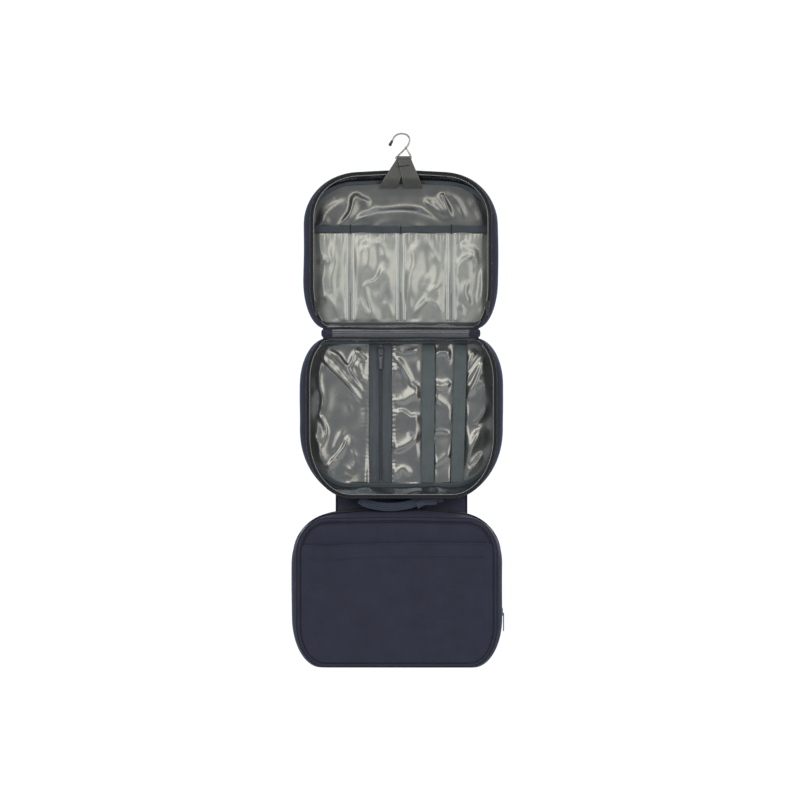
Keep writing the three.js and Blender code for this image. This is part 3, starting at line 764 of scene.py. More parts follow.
def cloth_wall(name, stations, x, rows, body, node, seed, size, height):
    """A tray's cloth wall, rippled a little between its edges."""

    def ripple(index, share):
        return waves(index * 1.0, np.full(index.shape, share * 20.0), seed, size, height) * mid_wall(share)

    wall = ring_wall(name, stations, x, 0, FABRIC, NAVY, rows, ripple)
    settle(smooth_mesh(wall), body, node)


def swell(station, gx, gz, power):
    """One over most of an outline, falling to nothing at its edge."""
    middle = (station["top"] + station["bottom"]) / 2
    tall = (station["top"] - station["bottom"]) / 2
    return 1 - np.maximum(np.abs(gx) / station["half"], np.abs(gz - middle) / tall) ** power


def back_panel(name, station, x, y_back, body, seed):
    """The padded cloth back: nearly flat, pulled in at its seam, with shallow unevenness."""

    def y_of(gx, gz):
        padding = swell(station, gx, gz, 6)
        return y_back - 1.5 + 0.4 * (padding - 1) + waves(gx, gz, seed, 70, 0.25) * padding

    panel = smooth_mesh(sheet(name, sheet_grid(station, x, y_of, 60, 50), NAVY, FABRIC))
    seam = outline_path(inset(station, 0.9), x, y_back - 0.8)
    cord(name + "_piping", seam, 1.35, NAVY_EDGE, body, closed=True)
    for i, distance in enumerate((4.6, 6.8)):
        line = outline_path(inset(station, distance), x, y_back - 0.35)
        stitches(f"{name}_stitch_{i}", line, THREAD_NAVY, body, width=0.4, height=0.4)
    settle(panel, body, name + "_panel")


def rim_zip(name, rim, x, keep, body, node, seed):
    """Half of the main zip: its black tape on the rim, its teeth and the film's edge beside them."""
    tape = outline_path(inset(rim, RIM_BAND / 2), x, RIM_Y - 1.1, keep)
    tape[:, 1] += waves(tape[:, 0], tape[:, 2], seed, 60, 0.25)
    trim(name + "_tape", tape, strap_section(RIM_BAND, 0.9), BLACK_TAPE, body, node)
    zip_teeth(name + "_teeth", outline_path(inset(rim, 0.9), x, RIM_Y - 2.2, keep), 2.0, body)
    edge = outline_path(inset(rim, RIM_BAND + 0.3), x, RIM_Y - 1.2, keep)
    cord(name + "_edge", edge, 0.5, FILM, body, sides=8)


def wall_film(name, stations, x, body, seed):
    """The film on the inside of a tray's wall, with seeded creases across it and a roll along it."""
    fine = (22, 46)
    creases = 46
    count = len(outline(stations[0], *fine))
    draw = np.random.RandomState(seed)
    spots = draw.uniform(0, count, creases)
    sizes = draw.uniform(0.5, 1.8, creases)
    lean = draw.uniform(-9, 9, creases)

    def ripple(index, share):
        total = np.zeros(index.shape)
        for spot, size, slant in zip(spots, sizes, lean):
            gap = np.abs((index - spot - slant * share + count / 2) % count - count / 2)
            total -= size * np.exp(-((gap / (0.9 + size)) ** 2))
        low = np.maximum(step(index, 0.78 * count, 0.86 * count), step(-index, -0.08 * count, 0))
        phase = 2.2 * math.pi * share + 2.2 * np.sin(index * 0.09 + seed)
        roll = np.sin(phase + 1.3 * np.sin(index * 0.23))
        total = total * (0.45 + 0.55 * low) - (0.3 + 1.1 * low) * roll
        return total * mid_wall(share) ** 0.7

    settle(ring_wall(name, stations, x, FILM_INSET, FILM_INSET + 0.5, PAINTED_SHADE_FILM, 16, ripple, fine), body)


def seam_tape(name, station, x, body, node, seed):
    """The slate binding over the seam between wall lining and floor lining."""
    path = outline_path(inset(station, 3.2), x, station["y"] - 4.4)
    path[:, 1] += waves(path[:, 0], path[:, 2], seed, 45, 0.4)
    trim(name, path, strap_section(5.8, 1.0), SLATE_SEAM_PAINTED_LIGHT, body, node, up=(0, 0.92, 0.4), closed=True)


def tray(name, stations, x, y_back, keep, seed):
    body = name + "_tray"
    cloth_wall(name + "_wall", stations, x, 10, body, name + "_gusset", seed, 26, 0.35)
    back_panel(name + "_back", stations[2], x, y_back, body, seed + 1)
    rim_zip(name + "_rim_zip", stations[0], x, keep, body, name + "_zip_chain", seed + 2)
    wall_film(name + "_wall_film", stations, x, body, seed + 3)
    seam_tape(name + "_seam_tape", stations[2], x, body, name + "_seam_binding", seed + 4)


tray("upper", UPPER, UPPER_X, UPPER_BACK, lambda z: z > FOLD_TOP + 8, 11)
tray("middle", MIDDLE, MIDDLE_X, MIDDLE_BACK, lambda z: z < FOLD_BOTTOM - 8, 21)

# ---- Upper tray: floor film and the row of four pockets ----------------------------------------

POCKET_TOP = node_high("upper_pocket_binding")[2]
POCKET_UNDER = node_low("upper_pocket_binding")[2]
DIVIDERS = (-60, 0, 60)


UPPER_FLOOR_FOLDS = [
    # A tent-shaped fold on the left
    ([(-56, -64), (-57, -80), (-62, -94), (-76, -108)], 4.5, 3.0, 0.5),
    ([(-57, -67), (-48, -74), (-34, -80)], 4.0, 1.6, -0.3),
    ([(-62, -74), (-82, -86), (-98, -104)], 6.0, 1.5, 0.2),
    # A broad arch over the middle pockets
    ([(-64, -112), (-46, -97), (-14, -90), (24, -93), (60, -112)], 7.5, 3.0, -0.45),
    ([(-40, -112), (-6, -101), (32, -112)], 8.0, 2.2, 0.0),
    ([(-84, -96), (-96, -104), (-100, -112)], 6.0, 1.6, 0.3),
    # A fan on the right
    ([(22, -71), (36, -82), (56, -99)], 3.2, 1.9, 0.35),
    ([(47, -65), (52, -76), (62, -99)], 3.0, 2.2, -0.3),
    ([(50, -66), (66, -76), (78, -99)], 3.4, 1.5, 0.3),
    ([(36, -72), (47, -84), (58, -98)], 2.6, 0.9, 0.0),
    ([(78, -72), (92, -88), (98, -108)], 4.5, 1.3, 0.0),
]


def upper_floor_film():
    floor = inset(UPPER[2], 5.0)
    low = POCKET_TOP - 8

    def y_of(gx, gz):
        free = step(floor["top"] - gz, 0, 9) * step(half_width(floor, gz) - np.abs(gx), 1.0, 8.0)
        rise = all_folds(gx, gz, UPPER_FLOOR_FOLDS)
        rise += small_folds(gx, gz, 41, 7, (-95, 95, low, floor["top"]), 70, 50, 26, 3.2, 0.4)
        rise += waves(gx, gz, 42, 48, 0.8, 6)
        under_strap = step(34 - np.abs(gx), 0, 10) * step(gz, -88, -76)
        free = free * (1 - 0.85 * under_strap)
        return UPPER_FLOOR_Y - 2.4 * step(gz, floor["top"] - 17, floor["top"]) - np.clip(rise, -1.0, 6.5) * free

    grid = sheet_grid(floor, UPPER_X, y_of, 190, 56, bottom=low)
    piece = sheet("upper_floor_film", grid, FLOOR_FILM_PAINTED_SHADE)
    settle(piece, "upper_tray", "upper_lining")


POCKET_FOLDS = [
    # First pocket
    ([(-96, -124), (-90, -150), (-92, -176), (-84, -206)], 5.0, 1.7, 0.3),
    ([(-82, -120), (-79, -146), (-82, -172), (-78, -200)], 4.2, 1.9, -0.3),
    ([(-101, -196), (-90, -190), (-80, -200), (-72, -216)], 3.4, 1.5, 0.2),
    ([(-100, -152), (-92, -146), (-84, -152)], 2.8, 1.2, 0.0),
    # Second pocket
    ([(-44, -122), (-38, -142), (-42, -166)], 5.5, 1.8, 0.3),
    ([(-27, -150), (-23, -160), (-31, -172), (-42, -178), (-36, -204), (-33, -217)], 3.0, 2.0, 0.3),
    ([(-30, -120), (-22, -132), (-18, -150)], 4.5, 1.5, -0.2),
    ([(-50, -190), (-44, -204), (-34, -216)], 2.8, 1.1, 0.0),
    ([(-22, -192), (-14, -204), (-10, -216)], 3.0, 0.9, 0.0),
    # Third pocket
    ([(12, -122), (16, -146), (12, -170), (18, -198)], 4.8, 1.7, 0.3),
    ([(30, -118), (36, -136), (46, -150)], 5.0, 1.5, -0.3),
    ([(10, -214), (26, -200), (36, -184), (50, -172)], 3.0, 1.8, 0.3),
    ([(14, -206), (30, -196), (44, -200), (50, -212)], 2.8, 1.1, 0.0),
    ([(34, -160), (30, -176), (40, -190)], 4.5, 1.2, 0.0),
    # Fourth pocket
    ([(66, -160), (74, -148), (86, -142), (90, -152), (86, -166)], 2.8, 1.9, 0.3),
    ([(72, -124), (80, -134), (94, -138)], 4.0, 1.4, 0.0),
    ([(80, -168), (76, -186), (84, -206)], 4.2, 1.7, -0.3),
    ([(96, -150), (97, -176), (92, -204)], 3.6, 1.4, 0.2),
    ([(68, -196), (74, -206), (70, -217)], 2.6, 1.0, 0.0),
]


def upper_pockets():
    half = 104.2
    pocket = dict(half=half, top=POCKET_UNDER + 1.5, bottom=-221, tx=1, tz=1, bx=16, bz=46)

    def y_of(gx, gz):
        down = np.clip((pocket["top"] - gz) / (pocket["top"] - pocket["bottom"]), 0, 1)
        gap = np.min(np.abs(gx[..., None] - np.array([-half, *DIVIDERS, half])), axis=-1)
        free = step(gap, 0.5, 9)
        ends = step(down, 0.0, 0.04) * step(1 - down, 0.0, 0.05)
        rise = all_folds(gx, gz, POCKET_FOLDS)
        rise += small_folds(gx, gz, 53, 44, (-100, 100, -216, -118), 85, 40, 26, 2.2, 0.55)
        rise += waves(gx * 1.4, gz * 0.75, 54, 38, 1.05, 7) + waves(gx * 1.3, gz, 58, 20, 0.16, 7)
        rise += gathers(gx, pocket["top"] - gz, 55, 4.6, 10, 0.55)
        bulge = 1.5 * np.sin(math.pi * down) ** 0.7 + 1.5 * (1 - down) ** 2
        return UPPER_POCKET_Y - free * bulge - np.clip(rise, -1.4, 6) * (0.15 + 0.85 * free) * ends

    grid = sheet_grid(pocket, UPPER_X, y_of, 210, 110)
    piece = sheet("upper_pocket_sheet", grid, POCKET_FILM_AND_SHEEN)
    settle(piece, "upper_tray", "upper_pocket_film")
    # Weld bands beside each divider, and the stitches near the pockets' foot
    for i, divider in enumerate(DIVIDERS):
        for side in (-1, 1):
            at = UPPER_X + divider + side * 4.4
            path = [(at, 20.5, z) for z in np.linspace(POCKET_UNDER, -219, 30)]
            weld = sweep(f"pocket_weld_{i}_{side + 1}", path, strap_section(4.6, 0.7, 1.5), WELD_FILM)
            settle(smooth_mesh(weld), "upper_tray")
        centre = [(UPPER_X + divider, 20.4, z) for z in (-186, -218)]
        stitches(f"pocket_stitch_{i}", centre, NAVY_EDGE, "upper_tray", 1.5, 2.6, 0.7)


def upper_pocket_tape():
    """The grosgrain along the pockets' mouth, dipping a little between the dividers."""
    middle = (POCKET_TOP + POCKET_UNDER) / 2
    path = []
    for x in np.linspace(-104.5, 104.5, 150):
        slack = abs(math.sin(math.pi * (x + 120) / 60))
        path.append((x + UPPER_X, 19.6 - 1.8 * slack, middle - 0.5 * slack + 0.25 * math.sin(x / 9)))
    section = strap_section(8.4, 1.3)
    trim("upper_pocket_tape", path, section, SLATE_X, "upper_tray", "upper_pocket_binding")
    for i, divider in enumerate(DIVIDERS):
        notch = [(UPPER_X + divider, 18.7, z) for z in (POCKET_TOP + 0.2, POCKET_UNDER - 0.4)]
        stitches(f"pocket_bartack_{i}", notch, BLACK_TAPE, "upper_tray", 2.6, 2.2, 1.3, 0.8)


upper_floor_film()
upper_pockets()
upper_pocket_tape()

# ---- Middle tray: zipped film pocket and elastic bands -----------------------------------------

ZIP_X = node_middle("pocket_zip_coil")[0]
FILM_TOP = node_high("middle_film_left")[2]
FILM_LOW = node_low("middle_film_left")[2]
BANDS = {side: node_middle(f"elastic_band_{side}")[0] for side in ("left", "right")}


MIDDLE_LEFT_FOLDS = [
    # Long diagonals down to the zip, and the vee above them
    ([(-99, -256), (-84, -274), (-62, -296), (-41, -326)], 3.0, 2.3, 0.4),
    ([(-88, -253), (-74, -262), (-60, -284), (-42, -308)], 2.8, 1.9, -0.4),
    ([(-86, -253), (-74, -266), (-63, -272), (-57, -262), (-55, -250)], 2.4, 1.7, 0.2),
    ([(-54, -250), (-48, -260), (-41, -266)], 2.4, 1.5, 0.0),
    ([(-54, -262), (-50, -280), (-43, -292)], 3.2, 1.2, 0.0),
    # Creases down the left edge
    ([(-96, -262), (-98, -290), (-94, -314), (-100, -340)], 3.2, 1.5, 0.3),
    ([(-101, -330), (-94, -336), (-90, -352), (-98, -372)], 2.4, 1.5, -0.2),
    ([(-106, -352), (-99, -366), (-98, -384)], 2.4, 1.4, 0.0),
    # The low fan
    ([(-62, -352), (-68, -368), (-80, -384), (-94, -399)], 3.4, 2.0, 0.35),
    ([(-66, -344), (-76, -362), (-82, -380)], 4.6, 1.5, 0.0),
    ([(-60, -366), (-56, -384), (-58, -402)], 3.6, 1.0, 0.0),
]
MIDDLE_RIGHT_FOLDS = [
    # Between the zip and the first elastic
    ([(-13, -258), (-4, -266), (6, -282), (14, -296), (24, -298)], 3.0, 2.2, 0.3),
    ([(-12, -252), (6, -256), (24, -250)], 3.0, 1.3, 0.0),
    ([(-10, -272), (0, -284), (4, -300)], 3.4, 1.1, 0.0),
    ([(-13, -310), (2, -314), (14, -306), (24, -310)], 4.4, 2.0, 0.4),
    ([(-13, -330), (0, -327), (12, -334), (24, -328)], 4.2, 1.6, -0.3),
    ([(-13, -372), (-2, -370), (12, -362), (24, -350)], 4.8, 2.4, 0.4),
    ([(-10, -404), (2, -394), (12, -404)], 3.4, 1.3, 0.0),
    # Between the elastics
    ([(34, -262), (48, -256), (62, -260)], 4.2, 1.8, 0.0),
    ([(34, -292), (48, -297), (62, -290)], 3.6, 1.7, 0.3),
    ([(34, -306), (48, -316), (62, -326)], 3.4, 1.2, 0.0),
    ([(34, -352), (48, -350), (62, -354)], 3.6, 1.7, 0.0),
    ([(34, -392), (48, -384), (62, -372)], 4.6, 2.0, 0.3),
    # Right of the second elastic
    ([(101, -258), (95, -274), (86, -296), (73, -314)], 4.0, 2.6, 0.35),
    ([(88, -251), (82, -264), (73, -280)], 3.2, 1.9, 0.0),
    ([(96, -262), (84, -280), (73, -296)], 2.4, 1.2, 0.0),
    ([(98, -342), (88, -358), (80, -378), (72, -396)], 4.6, 2.6, 0.3),
    ([(104, -318), (94, -334), (84, -344)], 3.6, 1.3, 0.0),
    ([(98, -374), (88, -390), (78, -402)], 3.4, 1.2, 0.0),
]


def middle_films():
    floor = inset(MIDDLE[2], 4.0)
    under = sheet_grid(floor, MIDDLE_X, lambda gx, gz: np.full(gx.shape, MIDDLE_FLOOR_Y), 40, 40)
    lining = sheet("middle_floor_film", under, PAINTED_SHADE_FILM)
    settle(lining, "middle_tray", "middle_lining")
    spans = {
        "left": (-114, ZIP_X - 12.2, 84, MIDDLE_LEFT_FOLDS, (), 61, 120),
        "right": (ZIP_X + 12.2, 114, 150, MIDDLE_RIGHT_FOLDS, tuple(BANDS.values()), 67, 20),
    }
    for side, (low, high, columns, folds, bands, seed, angle) in spans.items():

        def y_of(gx, gz):
            gap = np.minimum(gx - low, high - gx)
            for band in bands:
                gap = np.minimum(gap, np.maximum(np.abs(gx - band) - 6.5, 0))
            edge = half_width(floor, gz) - np.abs(gx)
            free = (0.12 + 0.88 * step(gap, 0.0, 6.5)) * step(edge, 1.0, 16.0)
            ends = step(floor["top"] - gz, 0, 4) * step(gz - floor["bottom"], 0, 4)
            rise = all_folds(gx, gz, folds)
            rise += small_folds(gx, gz, seed, 26, (low, high, -405, -255), angle, 45, 24, 2.2, 0.55)
            rise += waves(gx, gz, seed + 1, 44, 1.25, 6) + waves(gx, gz, seed + 4, 24, 0.08, 7)
            rise += gathers(gz, np.abs(gx - (ZIP_X + 13 * math.copysign(1, high))), seed + 2, 5.2, 6, 0.35)
            return MIDDLE_POCKET_Y - 0.8 * free - np.clip(rise, -1.4, 6) * free * ends

        grid = sheet_grid(floor, MIDDLE_X, y_of, columns, 180, left=low, right=high)
        piece = sheet(f"middle_pocket_film_{side}", grid, FILM)
        settle(piece, "middle_tray", f"middle_film_{side}")


def pocket_zip():
    """The pocket's zip: a tape on each side, barred with darker threads, and the two coils."""
    tape_zs = np.linspace(FILM_TOP + 3, FILM_LOW - 3, 60)
    bar_zs = np.arange(FILM_LOW + 1.5, FILM_TOP - 1.5, 2.3)
    coil_zs = np.arange(FILM_LOW + 1, FILM_TOP - 1, 1.25)
    for side, name in ((-1, "left"), (1, "right")):
        centre = ZIP_X + side * 7.4
        path = [(centre + 0.2 * math.sin(z / 11), 23.9 + 0.25 * math.sin(z / 17), z) for z in tape_zs]
        tape = f"pocket_zip_tape_{name}"
        trim(f"pocket_tape_{name}", path, strap_section(11.6, 0.8), ZIP_CLOTH, "middle_tray", tape)
        for row, (offset, wide) in enumerate(((11.0, 3.4), (4.4, 1.8))):
            centres = [(ZIP_X + side * offset, 23.35, z) for z in bar_zs]
            size = (wide, 0.75, 0.5)
            bars = bricks(f"pocket_tape_bars_{name}_{row}", centres, (1.0, 0.0, 0.12), size, TAPE_DARK)
            settle(bars, "middle_tray")
    for side, nodes in ((-1, ["pocket_zip_coil"]), (1, [])):
        centres = [(ZIP_X + side * 0.75, 23.1, z + side * 0.31) for z in coil_zs]
        coil = bricks(f"pocket_coil_{side + 1}", centres, (1.0, 0.0, 0.0), (2.2, 0.75, 1.5), COIL_DARK)
        settle(coil, "middle_tray", *nodes)


def elastic_bands():
    for side, lean in (("left", -1.6), ("right", -4.4)):
        path = []
        for z in np.linspace(FILM_TOP + 2.5, FILM_LOW - 2.5, 80):
            share = (FILM_TOP - z) / (FILM_TOP - FILM_LOW)
            path.append((BANDS[side] + 2 + lean * share, 22.7 - 1.6 * math.sin(math.pi * share), z))
        section = strap_section(15, 1.1, 0.3, 9, 0.1)
        trim(f"elastic_{side}", path, section, SLATE_Z, "middle_tray", f"elastic_band_{side}")


middle_films()
pocket_zip()
elastic_bands()

# ---- Sliders and pulls -------------------------------------------------------------------------


def plate(name, flat, low, high, material, soften, segments=3, place=lambda a, b, at: (a, at, b)):
    """A plate with softened edges: a flat outline carried from low to high, which place puts in space."""
    points = [place(a, b, at) for at in (low, high) for a, b in flat]
    piece = add_mesh(name, points, tube_faces(2, len(flat)), material, smooth=False)
    return bevel(piece, soften, segments)


def signed_power(value, power):
    return np.abs(value) ** power * np.sign(value)


def oval(cx, cz, rx, rz, count=24, power=3.2):
    """An oval outline, squarer the higher its power."""
    angles = np.linspace(0, 2 * math.pi, count, endpoint=False)
    xs = cx + rx * signed_power(np.cos(angles), 2 / power)
    zs = cz + rz * signed_power(np.sin(angles), 2 / power)
    return list(zip(xs, zs))


def zip_slider(name, x, z, y_back, scale, body, node, material):
    """A slider: rounded shell with a bridge for the pull."""
    flat = oval(x, z, 3.3 * scale, 4.6 * scale)
    settle(plate(name, flat, y_back - 2.2 * scale, y_back, material, 0.5), body, node)
    path = []
    for angle in np.linspace(0, math.pi, 13):
        path.append((x, y_back - (2.0 + 1.3 * math.sin(angle)) * scale, z + 2.9 * scale * math.cos(angle)))
    trim(name + "_bridge", path, strap_section(1.7 * scale, 0.8 * scale, 0.2), material, body, up=(1, 0, 0))


def zip_pull(name, x, z_top, z_low, y, width, body, node, material):
    """A pull tab that hangs from the slider's bridge, with an eye at its top and ridges for grip below."""
    count, thick = 36, 1.1
    angles = np.linspace(0, 2 * math.pi, count, endpoint=False)
    across = signed_power(np.cos(angles), 0.55)
    up = signed_power(np.sin(angles), 0.45)
    waist = 0.86 + 0.14 * np.abs(up)
    outer = (x + across * width / 2 * waist, (z_top + z_low) / 2 + up * (z_top - z_low) / 2)
    eye = (x + width * 0.24 * np.cos(angles), z_top - width * 0.62 + width * 0.3 * np.sin(angles))
    front, back = y - thick / 2, y + thick / 2
    rings = ((outer, front), (outer, back), (eye, back), (eye, front))
    points = np.concatenate([np.stack([xs, np.full(count, depth), zs], 1) for (xs, zs), depth in rings])
    piece = add_mesh(name, points, grid_faces(4, count, True, True), material, smooth=False)
    settle(bevel(piece, 0.22, 2), body, node)
    for i in range(4):
        ridge = [(x + side * width * 0.33, front, z_low + 2.0 + i * 1.4) for side in (-1, 1)]
        cord(f"{name}_ridge_{i}", ridge, 0.28, material, body, sides=6)


def pocket_slider():
    """The pocket zip's slider and pull, and the cord loop the pull hangs in."""
    low, high = node_low("pocket_zip_slider"), node_high("pocket_zip_slider")
    middle = node_middle("pocket_zip_slider")[2]
    zip_slider(
        "pocket_slider_shell", ZIP_X, middle, high[1] - 1.6, 1.0,
        "pocket_slider", "pocket_zip_slider", ZIP_PLASTIC,
    )
    pull_low, pull_high = node_low("pocket_zip_pull"), node_high("pocket_zip_pull")
    zip_pull(
        "pocket_pull_tab", ZIP_X, pull_high[2] + 0.2, pull_low[2], pull_low[1] - 0.2, 4.6,
        "pocket_pull", "pocket_zip_pull", ZIP_PLASTIC,
    )
    loop = [
        (ZIP_X + 2.7 * math.sin(t) * (1 - 0.35 * math.cos(t)), low[1] - 1.0, -255.2 - 4.4 * math.cos(t))
        for t in np.linspace(0, 2 * math.pi, 28, endpoint=False)
    ]
    cord("pocket_slider_loop", loop, 0.75, COIL_DARK, "pocket_slider", closed=True)


def main_sliders():
    for side in ("left", "right"):
        node = f"main_zip_slider_{side}"
        x, _, z = node_middle(node)
        back = node_high(node)[1]
        zip_slider(f"main_slider_shell_{side}", x, z, back, 0.9, "upper_tray", node, ZIP_BLACK)
        node = f"main_zip_pull_{side}"
        x, y, _ = node_middle(node)
        zip_pull(
            f"main_pull_tab_{side}", x, node_high(node)[2] + 1.0, node_low(node)[2], y, 4.4,
            f"main_pull_{side}", node, ZIP_BLACK,
        )


pocket_slider()
main_sliders()

# ---- Hinge strip -------------------------------------------------------------------------------


def hinge_strip():
    """The lined web between the trays, in two halves."""
    middle = (FOLD_TOP + FOLD_BOTTOM) / 2
    over = 2.2
    halves = (
        ("hinge_web_upper", FOLD_TOP + over, middle, ("upper_tray", "hinge_web"), FOLD_TOP,
         ["hinge_strip"]),
        ("hinge_web_lower", middle, FOLD_BOTTOM - over, ("hinge_web", "middle_tray"), FOLD_BOTTOM, []),
    )
    for name, top, bottom, bodies, fold_z, nodes in halves:
        gx, gz = np.meshgrid(np.linspace(-88, 88, 120), np.linspace(top, bottom, 16))
        bow = 1 - ((gz - middle) / (FOLD_TOP - middle + over)) ** 2
        crease = 1.9 * np.exp(-np.abs((gz - middle - 0.6 + 0.3 * np.sin(gx / 29)) / 1.1) ** 1.5)
        gy = RIM_Y + 0.8 - 1.0 * bow - crease * bow + waves(gx * 0.25, gz, 71, 15, 0.2) * bow
        web = sheet(name, np.stack([gx + UPPER_X, gy, gz], 2), HINGE_FILM, 0.9)
        bend(web, "lining_film", nodes, bodies, RIM_Y, fold_z, 1.6)
    for side, name in ((-1, "left"), (1, "right")):
        node = f"hinge_end_tab_{name}"
        half = (node_high(node)[0] - node_low(node)[0]) / 2
        centre = node_middle(node)[0] + UPPER_X - side
        flat = oval(centre, middle, half + 2.0, 5.2)
        settle(plate(f"hinge_tab_{name}", flat, RIM_Y - 1.6, RIM_Y + 1.4, NAVY, 0.9), "hinge_web", node)
        for row in (-1, 1):
            knots = [
                (centre - side * 6, RIM_Y - 1.9, middle + row * 1.0),
                (centre, RIM_Y - 2.6, middle + row * 1.7),
                (centre + side * 6, RIM_Y - 1.0, middle + row * 3.0),
            ]
            cord(f"hinge_pleat_{name}_{row + 1}", catmull(knots, 6), 1.1, NAVY, "hinge_web")
    for i, (z, body) in enumerate(((FOLD_TOP + 0.9, "upper_tray"), (FOLD_BOTTOM - 0.9, "middle_tray"))):
        path = [(x + UPPER_X, RIM_Y - 1.2, z + 0.2 * math.sin(x / 13)) for x in np.linspace(-92, 92, 90)]
        cord(f"hinge_piping_{i}", path, 0.9, BLACK_TAPE, body)


hinge_strip()

# ---- Strap and hook ----------------------------------------------------------------------------

BAR_Z = -27.8
FOOT_Z = -62.0
HEAD_Z = -28.4


def strap_leg(name, foot, head, y_shift, *nodes):
    """Webbing with straight edges, from its sewn foot forwards past the rim and up to the fold."""
    knots = [
        (19.0, -61.2), (14.0, -59.2), (7.5, -56.2), (1.6 + y_shift, -51.8), (0.4 + y_shift, -46.5),
        (y_shift, -40.0), (y_shift * 0.9, -34.0), (y_shift * 0.8, HEAD_Z),
    ]
    line = catmull(knots, 7)
    share = (line[:, 1] - FOOT_Z) / (HEAD_Z - FOOT_Z)
    edges = [foot[side] + (head[side] - foot[side]) * share for side in (0, 1)]
    section = strap_section(1.0, 1.3, 0.03)
    points = []
    for (y, z), (ty, tz), low, high in zip(line, unit(np.gradient(line, axis=0)), *edges):
        for s, t in section:
            points.append(((low + high) / 2 + s * (high - low), y + t * tz, z - t * ty))
    piece = add_mesh(name, points, tube_faces(len(line), len(section)), WEBBING)
    for i, edge in enumerate((edges[0] + 0.9, edges[1] - 0.9)):
        selvedge = np.stack([edge, line[:, 0] - 0.62, line[:, 1]], 1)
        cord(f"{name}_selvedge_{i}", selvedge, 0.42, WEBBING_EDGE, "strap", sides=8)
    settle(piece, "strap", *nodes)


def strap_fold():
    """The webbing's fold round the hook's bar, with both ends running down behind the legs."""
    x, radius, tail = 2.2, 1.7, 6.0
    angles = np.linspace(-0.62 * math.pi, 1.62 * math.pi, 26)
    turn = [(x, radius * math.cos(a), BAR_Z + radius * math.sin(a)) for a in angles]
    path = np.array([(x, turn[0][1], BAR_Z - tail)] + turn + [(x, turn[-1][1], BAR_Z - tail)])
    section = strap_section(15.6, 1.1, 0.3)
    points = []
    for (px, py, pz), (_, ty, tz) in zip(path, unit(np.gradient(path, axis=0))):
        points += [(px + s, py - tz * h, pz + ty * h) for s, h in section]
    settle(add_mesh("strap_fold_loop", points, tube_faces(len(path), len(section)), WEBBING), "strap")


def strap():
    strap_leg("strap_leg_left", (-28.0, -6.2), (-6.3, 9.0), 0.85)
    strap_leg("strap_leg_right", (2.0, 24.6), (-5.4, 10.6), -0.75, "hanging_strap")
    strap_fold()
    bar = [(x, -2.1, -37.2 + 0.07 * x - 0.5 * math.cos(x / 4)) for x in np.linspace(-6.0, 7.8, 20)]
    stitches("strap_bar_stitch", bar, BLACK_TAPE, "strap", 1.7, 1.5, 0.8, 0.5)
    for side, x in (("left", -16.6), ("right", 15.4)):
        foot = [(x + s, 17.9, -60.2) for s in np.linspace(-9.5, 9.5, 12)]
        stitches(f"strap_foot_stitch_{side}", foot, THREAD_GREY, "strap", 1.6, 2.4, 0.5)


def hook():
    """One bent wire: over the bend, down to the crossing, round the bar's triangle and back."""
    bend = catmull(
        [
            (-11.6, 0, -7.6), (-8.8, 0, -2.6), (-5, 0, 0.1), (0, 0, 0.95), (5.3, 0, -0.4),
            (8.6, 0, -4.2), (8.7, 0, -8.6), (7, 0, -12.6), (4.4, 0, -16.1),
        ],
        8,
    )
    lower = catmull(
        [
            (4.4, 0, -16.1), (-1.2, 0, -21.7), (-6.4, 0, -26.7), (-7.2, 0, -27.8), (-5.8, 0, -28.0),
            (0, 0, -27.9), (9.2, 0, -27.9), (10.5, 0, -27.6), (10.3, 0, -25.6),
            (7.6, 0.3, -20.9), (5.1, 1.3, -16.6),
            (3.7, 1.3, -14.6),
        ],
        7,
    )
    wire = np.concatenate([bend, lower[1:]])
    cord("hook_wire", wire, 1.05, STEEL, "hook", "wire_hook", sides=14, up=(0, 1, 0.001))
    start, end = Vector((-11.3, 0, -7.1)), Vector((-14.7, 0, -13.3))
    axis = (end - start).normalized()
    profile = [
        (0.0, 0.0), (1.2, 0.0), (1.35, 0.5), (1.6, 2.4), (1.95, 5.4), (1.85, 6.5), (1.3, 7.2), (0.0, 7.3),
    ]
    sides = 18
    up = Vector(BACKWARD)
    side = axis.cross(up).normalized()
    points = []
    for radius, height in profile:
        for i in range(sides):
            angle = 2 * math.pi * i / sides
            across = side * (radius * math.cos(angle))
            points.append(tuple(start + axis * height + across + up * (radius * math.sin(angle))))
    cap = add_mesh("hook_cap", points, grid_faces(len(profile), sides, False, True), CAP_BLACK)
    settle(cap, "hook", "hook_tip_cap")


strap()
hook()

# ---- Handle ------------------------------------------------------------------------------------


def handle():
    """Ribbed webbing that sags from its two sewn ends, with a tab folded over near its right end."""
    line = catmull(
        [
            (-50, 11.4, -430.2), (-44, 10.8, -434.6), (-34, 10.2, -437.6), (-20, 9.9, -439.6),
            (-6, 9.9, -439.4), (8, 10.2, -437.0), (20, 10.8, -433.2), (34, 11.4, -430.0), (49, 11.8, -429.2),
        ],
        9,
    )
    band = sweep("handle_band", line, strap_section(10.5, 2.2, 0.5, 5, 0.5), HANDLE_NAVY_PAINTED_LIGHT)
    settle(smooth_mesh(band), "handle", "carry_handle")
    folded = catmull([(17, 9.2, -438.2), (25, 8.8, -434.0), (34, 9.2, -433.4), (41, 10.2, -432.6)], 6)
    trim("handle_folded_tab", folded, strap_section(8.0, 1.4, 0.4, 4, 0.35), HANDLE_NAVY_PAINTED_LIGHT, "handle")
    for side, name in ((-1, "left"), (1, "right")):
        end = catmull([(side * 40, 15.2, -427.2), (side * 45, 14.8, -429.0), (side * 50, 14.4, -431.0)], 6)
        section = strap_section(8.6, 1.6, 0.4)
        trim(f"handle_sewn_{name}", end, section, HANDLE_NAVY_PAINTED_LIGHT, "middle_tray", f"handle_anchor_{name}")


handle()

# ---- Flap --------------------------------------------------------------------------------------


